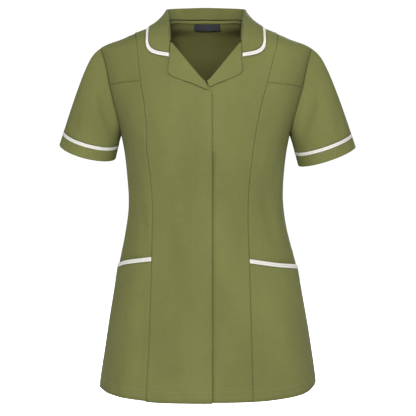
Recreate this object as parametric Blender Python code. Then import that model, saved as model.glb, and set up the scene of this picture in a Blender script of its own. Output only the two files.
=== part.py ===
"""A woman's short-sleeved medical tunic with pale piping, filled out and hollow.

Every panel is a thin wall between an outer and an inner sheet of points. The points come from one
torso face, read by its turn and its height, or from one sleeve face, read by its angle and its length.
Sizes are in millimetres and become metres when a mesh is made. The front looks along -Y, +X is the
wearer's left and +Z is up. The origin is between the shoulders, level with the shoulder seams' inner
ends.
"""

import functools
import math

import bmesh
import bpy
import numpy as np

MM = 0.001

# Cloth and seams
CLOTH = 1.2
SEAM_GAP = 0.3
LAY_GAP = 0.4
LAYER = CLOTH + LAY_GAP
PIPING_WALL = 1.6

# The torso's level sections, from the hem up: height, half width, front depth, back depth, side shift
SECTIONS = np.array((
    (-700.0, 207.0, 143.0, 143.0, 0.0),
    (-671.0, 205.0, 141.0, 142.0, 0.0),
    (-625.0, 198.5, 137.0, 139.0, 0.5),
    (-534.0, 184.0, 126.0, 133.0, 0.0),
    (-443.0, 166.5, 113.0, 118.0, -1.0),
    (-386.0, 153.0, 107.0, 101.0, -3.0),
    (-329.0, 146.3, 112.0, 95.0, -3.8),
    (-306.0, 147.0, 117.0, 98.0, -4.8),
    (-272.0, 149.5, 126.0, 105.0, -4.8),
    (-236.0, 154.0, 133.0, 111.0, -4.8),
    (-205.0, 160.0, 134.0, 114.0, -4.8),
    (-159.0, 176.0, 128.0, 114.0, -4.5),
    (-117.0, 189.5, 118.0, 111.0, -4.0),
    (-80.0, 198.0, 106.0, 106.0, -4.0),
    (-46.0, 203.0, 95.0, 100.0, -4.0),
    (-34.0, 189.0, 90.0, 98.0, -4.0),
    (-21.0, 157.0, 82.0, 95.0, -4.0),
    (-10.5, 135.0, 74.0, 91.0, -4.0),
    (-3.0, 110.0, 66.0, 88.0, -4.0),
    (5.0, 80.0, 56.0, 83.0, -4.0),
    (36.0, 72.0, 40.0, 79.0, -4.0),
))
FULLNESS = 2.2
NECK_SHIFT = -4.0

# Soft folds of the body: turn and height of the low end, turn and height of the high end, half width as
# a turn, and how far out the cloth stands along the middle
FOLDS = (
    (-0.74, -455.0, -0.70, -255.0, 0.16, -2.6),
    (-0.60, -790.0, -0.66, -455.0, 0.15, 2.4),
    (-0.84, -790.0, -0.82, -480.0, 0.12, -2.0),
    (0.60, -440.0, 0.58, -230.0, 0.15, -2.4),
    (0.88, -480.0, 0.66, -310.0, 0.12, 1.8),
    (0.62, -800.0, 0.64, -450.0, 0.14, 2.6),
    (0.85, -790.0, 0.84, -500.0, 0.12, -2.2),
    (2.02, -830.0, 1.98, -390.0, 0.22, -4.0),
    (1.60, -800.0, 1.64, -330.0, 0.20, 4.0),
    (2.44, -820.0, 2.38, -350.0, 0.19, 4.2),
    (1.28, -790.0, 1.32, -420.0, 0.14, -3.0),
    (2.74, -770.0, 2.70, -440.0, 0.15, -2.8),
    (1.50, -370.0, 1.36, -190.0, 0.15, -2.6),
    (2.52, -350.0, 2.66, -180.0, 0.16, -2.4),
)

# Hem: its height at each turn, and how much longer the overlap hangs
HEM_LINE = np.array((
    (-2.0, -692.0),
    (-1.4, -688.0),
    (-1.0, -679.0),
    (-0.72, -685.0),
    (-0.5, -690.0),
    (-0.3, -692.0),
    (0.3, -691.5),
    (0.5, -689.0),
    (0.72, -682.5),
    (1.0, -671.0),
    (1.4, -686.0),
    (2.0, -692.0),
))
OVERLAP_DROP = 1.4

HEM_AT_PRINCESS = -690.0

# Princess seams of the wearer's right and left: height, and how far across the front
PRINCESS_RIGHT = np.array((
    (-700.0, -112.5),
    (-547.0, -106.0),
    (-435.0, -103.4),
    (-344.0, -102.4),
    (-315.0, -103.7),
    (-240.0, -110.8),
    (-164.0, -115.5),
    (-122.0, -122.0),
    (-81.0, -127.0),
    (-28.0, -133.0),
    (-10.5, -139.0),
))
PRINCESS_LEFT = np.array((
    (-700.0, 81.2),
    (-546.0, 78.0),
    (-435.0, 75.5),
    (-382.0, 73.6),
    (-342.0, 73.5),
    (-259.0, 80.0),
    (-186.0, 91.0),
    (-130.0, 104.5),
    (-102.0, 112.0),
    (-36.0, 127.5),
    (-10.5, 131.0),
))
SHOULDER_PRINCESS = -10.5
# Above this height the princess seams slant over the shoulder, so their gap is wider as read by a turn
PRINCESS_BEND = -36.0
PRINCESS_TOP_WIDER = 1.5

# Bust seams: their height beside the princess seam and beside the armhole
BUST_SEAM = {
    "right": {"inner": -111.5, "outer": -115.5},
    "left": {"inner": -115.5, "outer": -120.0},
}

# Neck edge of the fronts, above the lapels: height, and how far it is from the neck's middle
NECK_EDGE = np.array((
    (-38.5, 66.6),
    (-20.0, 71.0),
    (-8.0, 75.5),
    (0.0, 79.0),
    (5.0, 80.5),
))
NECK_SIDE_HEIGHT = 4.5
NECK_SEAM_DROP = 0.5
# Neck edge of the back: turn and height
BACK_NECK = np.array((
    (1.0, 4.5),
    (1.25, 16.0),
    (1.5, 22.0),
    (2.0, 25.0),
))

# The fronts meet below the lapels
V_POINT = (-4.0, -118.5)
LAPEL_TOP = -38.5
ROLL_SETBACK = 2.4
# Inner edge of each front below the V point: height, and how far across
OVERLAP_EDGE = np.array((
    (-140.0, 7.7),
    (-134.0, 6.4),
    (-130.5, 3.6),
    (-128.0, -1.2),
    (-118.5, -6.4),
))
UNDERLAP_EDGE = np.array((
    (-140.0, -20.0),
    (-118.5, -1.6),
))
# The underlap sinks one layer up to the first place across, and is level again at the second
UNDERLAP_RISE_FROM = 9.0
UNDERLAP_RISE_TO = 36.0

# Lapels, as (across, height): the roll line from its top by a bend to its tip, and the outer corner
LAPEL_RIGHT = {
    "roll": ((-68.2, -38.5), (-4.0, -118.5), (1.4, -128.0), (1.8, -133.5)),
    "corner": (-72.3, -102.6),
    "wrap_end": -126.0,
}
LAPEL_LEFT = {
    "roll": ((60.6, -38.5), (-2.4, -117.0), (2.6, -127.0)),
    "corner": (61.8, -100.0),
    "wrap_end": -113.0,
}
# How far along a lapel its corner lies, and the places along it where it is drawn
LAPEL_CORNER_SHARE = 0.62
LAPEL_ROWS = (0.04, 0.12, 0.22, 0.34, 0.46, 0.58, 0.66, 0.76, 0.84, 0.9, 0.95, 0.98)
# Across from the roll line, round the fold: outer place and lift, inner place and lift
LAPEL_FOLD = ((0.0, -1.0, 1.1, -1.0), (0.15, 0.5, 1.15, 0.2), (1.1, 1.45, 1.7, 0.35), (4.0, 2.0, 4.2, 0.8))
# The same where the tip lies flat
LAPEL_FLAT = ((0.0, 1.6, 0.0, 0.4), (0.3, 1.6, 0.3, 0.4), (1.1, 1.6, 1.1, 0.4), (4.0, 1.7, 4.0, 0.5))
LAPEL_FADE = 5.0
LAPEL_FULL_WIDTH = 9.0
LAPEL_SHARES = (0.3, 0.5, 0.75, 1.0)
LAPEL_PAST_FOLD = 5.0
LAPEL_PAST_FOLD_SHARE = 0.9
LAPEL_SPRING = 0.35

# Armholes
ARMHOLE_TOP = -36.5
ARMHOLE_BOTTOM = -205.0
ARMHOLE_FRONT_REACH = {"right": 47.0, "left": 42.0}
ARMHOLE_BACK_REACH = 42.0
ARMHOLE_FULLNESS = 2.6
# Half the seam's gap across the cloth, and in height, which counts for more where the shoulder is flat
ARMHOLE_GAP = 0.4
ARMHOLE_RISE_GAP = 0.18

# Sleeves, for the wearer's right and left: the hem's outer and inner ends and how far its front dips
SLEEVE_HEM = {
    "right": {"outer": (-281.6, -221.4), "inner": (-175.0, -249.0), "dip": 17.0},
    "left": {"outer": (280.0, -226.0), "inner": (171.0, -262.8), "dip": 12.0},
}
SLEEVE_HALF_DEPTH = 60.0
# Directions in which the cloth leaves the shoulder and the underarm, and reaches the hem below each
SLEEVE_START_TOP = (0.925, 0.0, -0.38)
SLEEVE_START_UNDER = (0.35, 0.0, -0.94)
SLEEVE_FRONT_SPREAD = 0.12
SLEEVE_END_TOP = (0.32, 0.0, -0.947)
SLEEVE_END_UNDER = (0.26, 0.0, -0.966)
# How strongly, as shares of the way: leaving the shoulder, leaving the underarm, reaching the hem
SLEEVE_TOP_SHARE = 0.175
SLEEVE_UNDER_SHARE = 0.22
SLEEVE_END_SHARE = 0.33
# Soft folds of a sleeve: angle and share of its length at the upper end, the same at the lower end, half
# width as an angle, and how far out. Angles run from the shoulder by the front, in degrees
SLEEVE_FOLDS = (
    (128.0, 0.02, 78.0, 0.80, 34.0, -2.8),
    (95.0, -0.05, 40.0, 0.60, 26.0, 1.2),
    (232.0, 0.02, 284.0, 0.82, 34.0, -2.6),
    (264.0, -0.05, 318.0, 0.62, 26.0, 1.2),
)
CUFF_BAND = 20.5
SLEEVE_PIPING = 6.6

# Collar: station from the front end (0) by the side (1) to the back (2), and the fold's place there
COLLAR_FOLD = np.array((
    (0.0, 65.4, -88.5, -37.0),
    (0.35, 66.5, -68.0, -18.5),
    (0.7, 69.5, -40.0, 5.0),
    (1.0, 73.5, 0.0, 27.0),
    (1.3, 75.5, 36.0, 38.8),
    (1.6, 60.0, 64.0, 44.8),
    (2.0, 0.0, 79.0, 49.0),
))
# Outer edge of the collar in front: station, how far across, height
COLLAR_EDGE_FRONT = np.array((
    (0.0, 66.4, -69.3),
    (0.2, 91.0, -64.0),
    (0.38, 105.5, -55.0),
    (0.55, 110.0, -40.0),
    (0.78, 110.0, -20.0),
    (1.0, 107.0, -2.2),
))
# Outer edge of the collar behind: station, turn, height
COLLAR_EDGE_BACK = np.array((
    (1.0, 1.0, -2.2),
    (1.3, 1.3, -3.0),
    (1.6, 1.6, -5.0),
    (2.0, 2.0, -7.0),
))
COLLAR_PIPING = 7.4
COLLAR_LIE = 1.7
COLLAR_SPRING = 1.2
# The fold is a rounded bend this far from the cloth's middle, with its shoulders at these shares
FOLD_RADIUS = 1.5
FOLD_SHOULDER = 0.7
FOLD_SHOULDER_DROP = 0.4
STAND_SEAM_STEP = 0.9
STAND_POINTS = 3
FALL_STEPS = 12
# Places where the collar is drawn, from its front end to the middle of the back
COLLAR_STATIONS = (0.0, 0.1, 0.2, 0.3, 0.4, 0.5, 0.62, 0.76, 0.9, 1.02, 1.15, 1.28, 1.4, 1.52, 1.66, 1.82)

# Pockets: share of the way from princess seam to side seam, and height of the top edge there
POCKET_TOP = {
    "right": np.array(((0.0, -433.0), (0.5, -441.0), (1.0, -454.0))),
    "left": np.array(((0.0, -436.5), (0.45, -446.0), (1.0, -452.0))),
}
POCKET_AT_PRINCESS = -440.0
# The side front sinks between these heights above the pocket's top edge
SINK_FROM = 26.0
SINK_TO = 6.0
SINK_SPARE = 0.3
POCKET_PIPING = 8.0
# How far the mouth stands off, how far down that fades, and how far it leans to the side seam
POCKET_STAND = 3.2
POCKET_STAND_DROP = 45.0
POCKET_STAND_LEAN = 1.6

# Neck tape and bare label inside the back; the label sits a little to the wearer's left
TAPE_HEIGHT = 5.5
TAPE_WALL = 1.0
TAPE_DROP = 0.3
TAPE_END_TURN = 1.12
LABEL_SHIFT = 2.6
LABEL_WIDTH = 52.0
LABEL_TOP = 16.8
LABEL_BOTTOM = 4.9
LABEL_BOW = 3.0
LABEL_BOW_AT_SIDES = 0.35

# How finely the sheets are divided
BODY_ROWS = (-655.0, -615.0, -575.0, -535.0, -495.0, -455.0, -415.0, -380.0, -350.0, -320.0,
             -285.0, -250.0, -225.0, -205.0)
SIDE_FRONT_ROWS = (-655.0, -615.0, -575.0, -535.0, -495.0, -472.0, -461.0, -450.0, -440.0, -430.0, -420.0,
                   -405.0, -380.0, -350.0, -320.0, -285.0, -250.0, -225.0, -205.0)
FRONT_TOP_ROWS = (-175.0, -152.0, -140.0, -134.0, -130.5, -128.0, -118.5, -98.0, -78.0, -60.0, -48.0, -38.5,
                  -27.2, -19.8, -15.7, -12.6, -5.0)
ARMHOLE_ROWS = (-204.6, -202.5, -198.0, -193.0, -187.0, -179.0, -168.0, -148.0, -130.0)
BACK_TOP_ROWS = (-108.0, -84.0, -73.0, -63.0, -55.0, -48.0, -41.0, -38.0, -36.7, -36.2, -32.0, -24.0, -14.0, -5.0)
YOKE_SHARES = np.array((0.0, 0.2, 0.4, 0.58, 0.73, 0.84, 0.91, 0.95, 0.98, 0.994, 1.0))
POCKET_SHARES = np.array((0.0, 0.15, 0.3, 0.45, 0.6, 0.75, 0.85, 0.93, 1.0))
FRONT_COLUMNS = 8
YOKE_COLUMNS = 7
SIDE_FRONT_COLUMNS = 8
BACK_COLUMNS = 21
SLEEVE_HALF_ANGLES = (5, 11, 19, 30, 45, 60, 75, 90, 105, 120, 135, 150, 161, 171)
SLEEVE_ANGLES = (0,) + SLEEVE_HALF_ANGLES + (180,) + tuple(360 - a for a in SLEEVE_HALF_ANGLES[::-1])
SLEEVE_ROWS = 9
CUFF_ROWS = 4
PIPING_ROWS = 3
COLLAR_FALL_ROWS = 6
TORSO_ARC_STEPS = 97


def smooth_through(knots, values, at):
    """A curve through the values that never overshoots them, read at the places asked for."""
    step = np.diff(knots)
    rise = np.diff(values) / step
    slope = np.zeros(len(knots))
    slope[0] = rise[0]
    slope[-1] = rise[-1]
    for k in range(1, len(knots) - 1):
        if rise[k - 1] * rise[k] > 0:
            before = 2 * step[k] + step[k - 1]
            after = step[k] + 2 * step[k - 1]
            slope[k] = (before + after) / (before / rise[k - 1] + after / rise[k])
    at = np.clip(np.asarray(at, float), knots[0], knots[-1])
    k = np.clip(np.searchsorted(knots, at) - 1, 0, len(knots) - 2)
    t = (at - knots[k]) / step[k]
    start = values[k] * (1 + 2 * t) * (1 - t) ** 2 + slope[k] * step[k] * t * (1 - t) ** 2
    end = values[k + 1] * t * t * (3 - 2 * t) + slope[k + 1] * step[k] * t * t * (t - 1)
    return start + end


def ease(share):
    """0 below 0, 1 above 1 and a soft rise between."""
    share = np.clip(share, 0.0, 1.0)
    return share * share * (3 - 2 * share)


# ---------------------------------------------------------------- the torso's face


@functools.lru_cache(maxsize=None)
def quarter_arc(half_width, depth):
    """Across, depth and running length along a quarter of a section, from its middle to its side."""
    turn = 0.25 * math.pi * (1 - np.cos(math.pi * np.linspace(0, 1, TORSO_ARC_STEPS)))
    across = half_width * np.sin(turn) ** (2 / FULLNESS)
    deep = depth * np.cos(turn) ** (2 / FULLNESS)
    length = np.concatenate(((0.0,), np.cumsum(np.hypot(np.diff(across), np.diff(deep)))))
    return across, deep, length


@functools.lru_cache(maxsize=None)
def section_at(height):
    """Half width, front depth, back depth and side shift of the torso at a height."""
    return [float(smooth_through(SECTIONS[:, 0], SECTIONS[:, k], height)) for k in (1, 2, 3, 4)]


def fold_height(turn, height):
    """How far the soft folds move the torso's face out at a place."""
    moved = 0.0
    for low_turn, low, high_turn, high, half_width, out in FOLDS:
        share = (height - low) / (high - low)
        middle = low_turn + (high_turn - low_turn) * share
        off = abs((turn - middle + 2) % 4 - 2) / half_width
        if 0 < share < 1 and off < 1:
            moved += out * math.sin(math.pi * share) * (1 - off * off) ** 2
    return moved


def face_point(turn, height):
    """A point of the torso's face: turn 0 is the front's middle, 1 the wearer's left side, 2 the back's."""
    turn = (turn + 2) % 4 - 2
    half_width, front, back, shift = section_at(height)
    side = -1 if turn < 0 else 1
    if abs(turn) <= 1:
        across, deep, length = quarter_arc(half_width, front)
        place = abs(turn) * length[-1]
        deep = -deep
    else:
        across, deep, length = quarter_arc(half_width, back)
        place = (2 - abs(turn)) * length[-1]
    x = side * np.interp(place, length, across)
    y = np.interp(place, length, deep)
    spread = 1 + fold_height(turn, height) / math.hypot(x, y)
    return np.array((shift + x * spread, y * spread, height))


def arc_length(height, back=False):
    """Length of a quarter of the section at this height."""
    half_width, front, behind, _ = section_at(height)
    return quarter_arc(half_width, behind if back else front)[2][-1]


def front_turn(height, across):
    """The turn at which the front's face is this far across."""
    half_width, front, _, shift = section_at(height)
    reach, _, length = quarter_arc(half_width, front)
    share = np.interp(abs(across - shift), reach, length) / length[-1]
    return math.copysign(share, across - shift)


def on_torso(turn, height, out=0.0):
    """A point this far out from the torso's face."""
    step = 0.012
    rise = 1.0
    along = face_point(turn + step, height) - face_point(turn - step, height)
    up = face_point(turn, height + rise) - face_point(turn, height - rise)
    normal = np.cross(along, up)
    return face_point(turn, height) + normal / np.linalg.norm(normal) * out


# ---------------------------------------------------------------- meshes


def cloth_material(name, color, roughness=0.85):
    material = bpy.data.materials.new(name)
    material.use_nodes = True
    shader = material.node_tree.nodes["Principled BSDF"]
    shader.inputs["Base Color"].default_value = (*color, 1)
    shader.inputs["Roughness"].default_value = roughness
    shader.inputs["Metallic"].default_value = 0.0
    return material


OLIVE = (0.19, 0.20, 0.072)
PALE_OLIVE = (0.24, 0.25, 0.105)
PIPING_WHITE = (0.86, 0.84, 0.80)
LABEL_BLACK = (0.022, 0.024, 0.034)


def add_wall(name, outer, inner, color, ring=False):
    """One closed body between two sheets of points; a ring's last column meets its first."""
    rows, columns, _ = outer.shape
    bm = bmesh.new()
    sheets = [[[bm.verts.new(p * MM) for p in row] for row in sheet] for sheet in (outer, inner)]
    front, back = sheets
    spans = columns if ring else columns - 1
    for r in range(rows - 1):
        for c in range(spans):
            d = (c + 1) % columns
            bm.faces.new((front[r][c], front[r][d], front[r + 1][d], front[r + 1][c]))
            bm.faces.new((back[r][d], back[r][c], back[r + 1][c], back[r + 1][d]))
    for c in range(spans):
        d = (c + 1) % columns
        bm.faces.new((front[0][d], front[0][c], back[0][c], back[0][d]))
        bm.faces.new((front[-1][c], front[-1][d], back[-1][d], back[-1][c]))
    if not ring:
        for r in range(rows - 1):
            bm.faces.new((front[r][0], front[r + 1][0], back[r + 1][0], back[r][0]))
            bm.faces.new((front[r + 1][-1], front[r][-1], back[r][-1], back[r + 1][-1]))
    bmesh.ops.recalc_face_normals(bm, faces=bm.faces)
    mesh = bpy.data.meshes.new(name)
    bm.to_mesh(mesh)
    bm.free()
    mesh.shade_smooth()
    mesh.set_sharp_from_angle(angle=math.radians(40))
    mesh.materials.append(cloth_material(name + "_cloth", color))
    made = bpy.data.objects.new(name, mesh)
    bpy.context.scene.collection.objects.link(made)
    return made


def patch(rows, columns, left, right, bottom, top):
    """Turn and height of each point of a panel, from its four edges, each read by a share of its length.

    rows holds one share for each row, or a line of them, one for each column."""
    spread = rows if rows.ndim == 2 else np.repeat(rows[:, None], columns, axis=1)
    grid = np.zeros((len(rows), columns, 2))
    corners = [np.array(point) for point in (left(0.0), right(0.0), left(1.0), right(1.0))]
    for r in range(len(rows)):
        for c, p in enumerate(np.linspace(0, 1, columns)):
            q = spread[r, c]
            sides = (1 - p) * np.array(left(q)) + p * np.array(right(q))
            low = np.array(bottom(p)) - (1 - p) * corners[0] - p * corners[1]
            high = np.array(top(p)) - (1 - p) * corners[2] - p * corners[3]
            grid[r, c] = sides + (1 - q) * low + q * high
    return grid


def sheet_pair(grid, out=None, wall=CLOTH):
    """The outer and inner points of a panel laid on the torso's face."""
    outer = np.zeros((*grid.shape[:2], 3))
    inner = np.zeros_like(outer)
    for r, row in enumerate(grid):
        for c, (turn, height) in enumerate(row):
            lift = out(turn, height) if out else 0.0
            outer[r, c] = on_torso(turn, height, lift)
            inner[r, c] = on_torso(turn, height, lift - wall)
    return outer, inner


def sheet_normals(points, ring=False):
    """The direction at right angles to a sheet at each of its points."""
    if ring:
        across = np.roll(points, -1, axis=1) - np.roll(points, 1, axis=1)
    else:
        across = np.gradient(points, axis=1)
    along = np.gradient(points, axis=0)
    normals = np.cross(across, along)
    return normals / np.linalg.norm(normals, axis=2, keepdims=True)


def shares(heights):
    """Heights as shares of the way from the first to the last."""
    heights = np.array(heights)
    return (heights - heights[0]) / (heights[-1] - heights[0])


def fanned_rows(heights, evenness):
    """Shares for each row and column. The rows above the armhole's foot lie close beside the armhole.

    Away from it they fan out evenly, by a share for each column."""
    tight = shares(heights)
    foot = heights.index(ARMHOLE_BOTTOM)
    even = tight.copy()
    even[foot:] = np.linspace(tight[foot], 1.0, len(tight) - foot)
    return tight[:, None] * (1 - evenness) + even[:, None] * evenness


# ---------------------------------------------------------------- seams and edges, as turns and heights


def hem_height(turn):
    return float(smooth_through(HEM_LINE[:, 0], HEM_LINE[:, 1], (turn + 2) % 4 - 2))


def half_gap(height, back=False):
    """Half a seam's gap as a turn."""
    return 0.5 * SEAM_GAP / arc_length(height, back)


def princess_turn(side, height):
    table = PRINCESS_RIGHT if side < 0 else PRINCESS_LEFT
    across = float(smooth_through(table[:, 0], table[:, 1], height))
    return front_turn(height, across)


def beside_princess(side, towards_side, height):
    """Turn of a panel's edge at the princess seam: 1 is the seam's outer edge and -1 its inner one."""
    over_shoulder = np.clip((height - PRINCESS_BEND) / (SHOULDER_PRINCESS - PRINCESS_BEND), 0, 1)
    wider = 1 + PRINCESS_TOP_WIDER * math.sin(math.pi * over_shoulder)
    turn = abs(princess_turn(side, height)) + towards_side * half_gap(height) * wider
    return side * min(turn, 1 - half_gap(height))


def side_word(side):
    """The wearer's side: right is at -X."""
    return "right" if side < 0 else "left"


def armhole_share(height):
    """How wide the armhole is at a height, from 0 at its ends to 1."""
    middle = (ARMHOLE_TOP + ARMHOLE_BOTTOM) / 2
    reach = (ARMHOLE_TOP - ARMHOLE_BOTTOM) / 2 + ARMHOLE_RISE_GAP
    off = min(1.0, abs(height - middle) / reach)
    return (1 - off ** ARMHOLE_FULLNESS) ** (1 / ARMHOLE_FULLNESS)


def armhole_front_turn(side, height):
    """Turn of a front's edge at the side: the armhole, or the side and shoulder seams past its ends."""
    reach = (ARMHOLE_FRONT_REACH[side_word(side)] + ARMHOLE_GAP) * armhole_share(height)
    return 1 - max(reach, SEAM_GAP / 2) / arc_length(height)


def armhole_back_turn(height):
    reach = (ARMHOLE_BACK_REACH + ARMHOLE_GAP) * armhole_share(height)
    return 1 + max(reach, SEAM_GAP / 2) / arc_length(height, True)


def bust_seam_height(side, turn):
    seam = BUST_SEAM[side_word(side)]
    inner = abs(princess_turn(side, seam["inner"]))
    outer = armhole_front_turn(side, seam["outer"])
    share = (abs(turn) - inner) / (outer - inner)
    return seam["inner"] + (seam["outer"] - seam["inner"]) * share


def neck_edge_across(side, height):
    return NECK_SHIFT + side * float(np.interp(height, NECK_EDGE[:, 0], NECK_EDGE[:, 1]))


def front_edge_across(side, shape, below, height):
    """A front's inner edge: straight below its corner, then back from the roll line, then the neck edge."""
    if height >= LAPEL_TOP:
        return neck_edge_across(side, height)
    if height < V_POINT[1]:
        return float(np.interp(height, below[:, 0], below[:, 1]))
    top = shape["roll"][0]
    share = (height - top[1]) / (V_POINT[1] - top[1])
    return top[0] + (V_POINT[0] - top[0]) * share + side * ROLL_SETBACK


def underlap_level(across):
    """The wearer's left front sinks one layer where it goes under the other."""
    return -LAYER * (1 - ease((across - UNDERLAP_RISE_FROM) / (UNDERLAP_RISE_TO - UNDERLAP_RISE_FROM)))


def underlap_out(turn, height):
    return underlap_level(face_point(turn, height)[0])


def pocket_share(side, turn):
    inner = abs(princess_turn(side, POCKET_AT_PRINCESS))
    return (abs(turn) - inner) / (1 - inner)


def pocket_top_height(side, turn):
    table = POCKET_TOP[side_word(side)]
    return float(smooth_through(table[:, 0], table[:, 1], pocket_share(side, turn)))


def pocket_out(side, turn, height):
    """A pocket's mouth stands off the body most near the side seam."""
    below = pocket_top_height(side, turn) - height
    share = np.clip(pocket_share(side, turn), 0, 1)
    across = math.sin(math.pi * share ** POCKET_STAND_LEAN)
    return POCKET_STAND * across * math.exp(-((below / POCKET_STAND_DROP) ** 2))


def side_front_out(side, turn, height):
    """The side front sinks one layer where the pocket lies on it."""
    sunk = ease((pocket_top_height(side, turn) + SINK_FROM - height) / (SINK_FROM - SINK_TO))
    return -(LAYER + SINK_SPARE) * sunk


# ---------------------------------------------------------------- fronts, yokes, sides, back


def edge(bottom, top, turn_at):
    """A panel's side edge: heights from bottom to top, each with its turn."""
    return lambda q: (turn_at(bottom + (top - bottom) * q), bottom + (top - bottom) * q)


def front_panel(name, side, shape, below, out, drop):
    """A front, from the middle edge to the princess seam and from the hem to the shoulder seam."""
    hem = hem_height(0.0) - drop
    seam_hem = hem_height(princess_turn(side, HEM_AT_PRINCESS)) - drop
    top = NECK_SIDE_HEIGHT - NECK_SEAM_DROP
    inner = edge(hem, top, lambda h: front_turn(h, front_edge_across(side, shape, below, h)))
    outer = edge(seam_hem, SHOULDER_PRINCESS + SEAM_GAP / 2, lambda h: beside_princess(side, -1, h))
    start, end = inner(0.0)[0], outer(0.0)[0]
    inner_top, outer_top = inner(1.0), outer(1.0)
    limit = side * (1 - half_gap(0.0))

    def hem_line(p):
        turn = start + (end - start) * p
        return turn, hem_height(turn) - drop

    def shoulder(p):
        bend = inner_top[0] + (limit - inner_top[0]) * min(1.0, 4 * p)
        return bend, inner_top[1] + (outer_top[1] - inner_top[1]) * p

    heights = (hem,) + BODY_ROWS + FRONT_TOP_ROWS + (top,)
    grid = patch(shares(heights), FRONT_COLUMNS, inner, outer, hem_line, shoulder)
    return add_wall(name, *sheet_pair(grid, out), OLIVE)


def yoke_panel(name, side):
    """The front's upper part between princess seam and armhole, from bust seam to shoulder seam."""
    low_inner = BUST_SEAM[side_word(side)]["inner"] + SEAM_GAP / 2
    low_outer = BUST_SEAM[side_word(side)]["outer"] + SEAM_GAP / 2
    top_inner = SHOULDER_PRINCESS
    top_outer = ARMHOLE_TOP + ARMHOLE_RISE_GAP

    inner = edge(low_inner, top_inner, lambda h: beside_princess(side, 1, h))
    outer = edge(low_outer, top_outer, lambda h: side * armhole_front_turn(side, h))
    low = (inner(0.0)[0], outer(0.0)[0])
    high = (inner(1.0)[0], outer(1.0)[0])

    def bust(p):
        turn = low[0] + (low[1] - low[0]) * p
        return turn, bust_seam_height(side, turn) + SEAM_GAP / 2

    def shoulder(p):
        return high[0] + (high[1] - high[0]) * p, top_inner + (top_outer - top_inner) * p

    grid = patch(YOKE_SHARES, YOKE_COLUMNS, inner, outer, bust, shoulder)
    return add_wall(name, *sheet_pair(grid), OLIVE)


def side_front_panel(name, side):
    """The side of the front, from the hem to the bust seam, with the armhole's lower front edge."""
    hem_seam = hem_height(princess_turn(side, HEM_AT_PRINCESS))
    hem_side = hem_height(side)
    seam = BUST_SEAM[side_word(side)]
    inner = edge(hem_seam, seam["inner"] - SEAM_GAP / 2, lambda h: beside_princess(side, 1, h))
    outer = edge(hem_side, seam["outer"] - SEAM_GAP / 2, lambda h: side * armhole_front_turn(side, h))
    start, end = inner(0.0)[0], outer(0.0)[0]
    low = (inner(1.0)[0], outer(1.0)[0])

    def hem_line(p):
        turn = start + (end - start) * p
        return turn, hem_height(turn)

    def bust(p):
        turn = low[0] + (low[1] - low[0]) * p
        return turn, bust_seam_height(side, turn) - SEAM_GAP / 2

    heights = (hem_side,) + SIDE_FRONT_ROWS + ARMHOLE_ROWS + (seam["outer"],)
    evenness = 1 - np.linspace(0, 1, SIDE_FRONT_COLUMNS)
    grid = patch(fanned_rows(heights, evenness), SIDE_FRONT_COLUMNS, inner, outer, hem_line, bust)
    return add_wall(name, *sheet_pair(grid, lambda t, h: side_front_out(side, t, h)), OLIVE)


def back_panel(name):
    """The back in one piece, from side seam to side seam and from the hem to shoulder and neck."""
    top = NECK_SIDE_HEIGHT - NECK_SEAM_DROP
    left = edge(hem_height(1), top, armhole_back_turn)
    right = edge(hem_height(-1), top, lambda h: 4 - armhole_back_turn(h))
    low = (left(0.0)[0], right(0.0)[0])
    high = (left(1.0)[0], right(1.0)[0])

    def hem_line(p):
        turn = low[0] + (low[1] - low[0]) * p
        return turn, hem_height(turn)

    def neck(p):
        turn = high[0] + (high[1] - high[0]) * p
        return turn, back_neck_height(turn)

    heights = (hem_height(1),) + BODY_ROWS + ARMHOLE_ROWS + BACK_TOP_ROWS + (top,)
    evenness = 1 - np.linspace(-1, 1, BACK_COLUMNS) ** 2
    grid = patch(fanned_rows(heights, evenness), BACK_COLUMNS, left, right, hem_line, neck)
    return add_wall(name, *sheet_pair(grid), OLIVE)


def back_neck_height(turn):
    """Height of the back's neck edge, the same on both sides of the middle."""
    from_front = 2 - abs(2 - turn % 4)
    return float(smooth_through(BACK_NECK[:, 0], BACK_NECK[:, 1], from_front)) - NECK_SEAM_DROP


# ---------------------------------------------------------------- pockets


def pocket_patch(side, top_drop, bottom, rows, bottom_is_hem):
    """A strip of the side front's face between the pocket's top, lowered, and the hem or another line."""
    def top_at(turn):
        return pocket_top_height(side, turn) - top_drop

    def bottom_at(turn):
        return hem_height(turn) if bottom_is_hem else pocket_top_height(side, turn) - bottom

    start = beside_princess(side, 1, POCKET_AT_PRINCESS)
    low_start = beside_princess(side, 1, HEM_AT_PRINCESS) if bottom_is_hem else start
    inner = edge(bottom_at(low_start), top_at(start), lambda h: beside_princess(side, 1, h))
    outer = edge(bottom_at(side), top_at(side), lambda h: side * (1 - half_gap(h)))
    low = (inner(0.0)[0], outer(0.0)[0])
    high = (inner(1.0)[0], outer(1.0)[0])

    def low_line(p):
        turn = low[0] + (low[1] - low[0]) * p
        return turn, bottom_at(turn)

    def high_line(p):
        turn = high[0] + (high[1] - high[0]) * p
        return turn, top_at(turn)

    return patch(rows, SIDE_FRONT_COLUMNS, inner, outer, low_line, high_line)


def pocket_panel(name, side):
    """A pocket panel, caught in princess seam, side seam and hem, open at its piped top."""
    grid = pocket_patch(side, POCKET_PIPING + SEAM_GAP, 0.0, POCKET_SHARES, True)
    return add_wall(name, *sheet_pair(grid, lambda t, h: pocket_out(side, t, h)), OLIVE)


def pocket_piping(name, side):
    grid = pocket_patch(side, 0.0, POCKET_PIPING, np.linspace(0, 1, PIPING_ROWS), False)
    proud = PIPING_WALL - CLOTH
    pair = sheet_pair(grid, lambda t, h: pocket_out(side, t, h) + proud, PIPING_WALL)
    return add_wall(name, *pair, PIPING_WHITE)


# ---------------------------------------------------------------- sleeves


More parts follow.
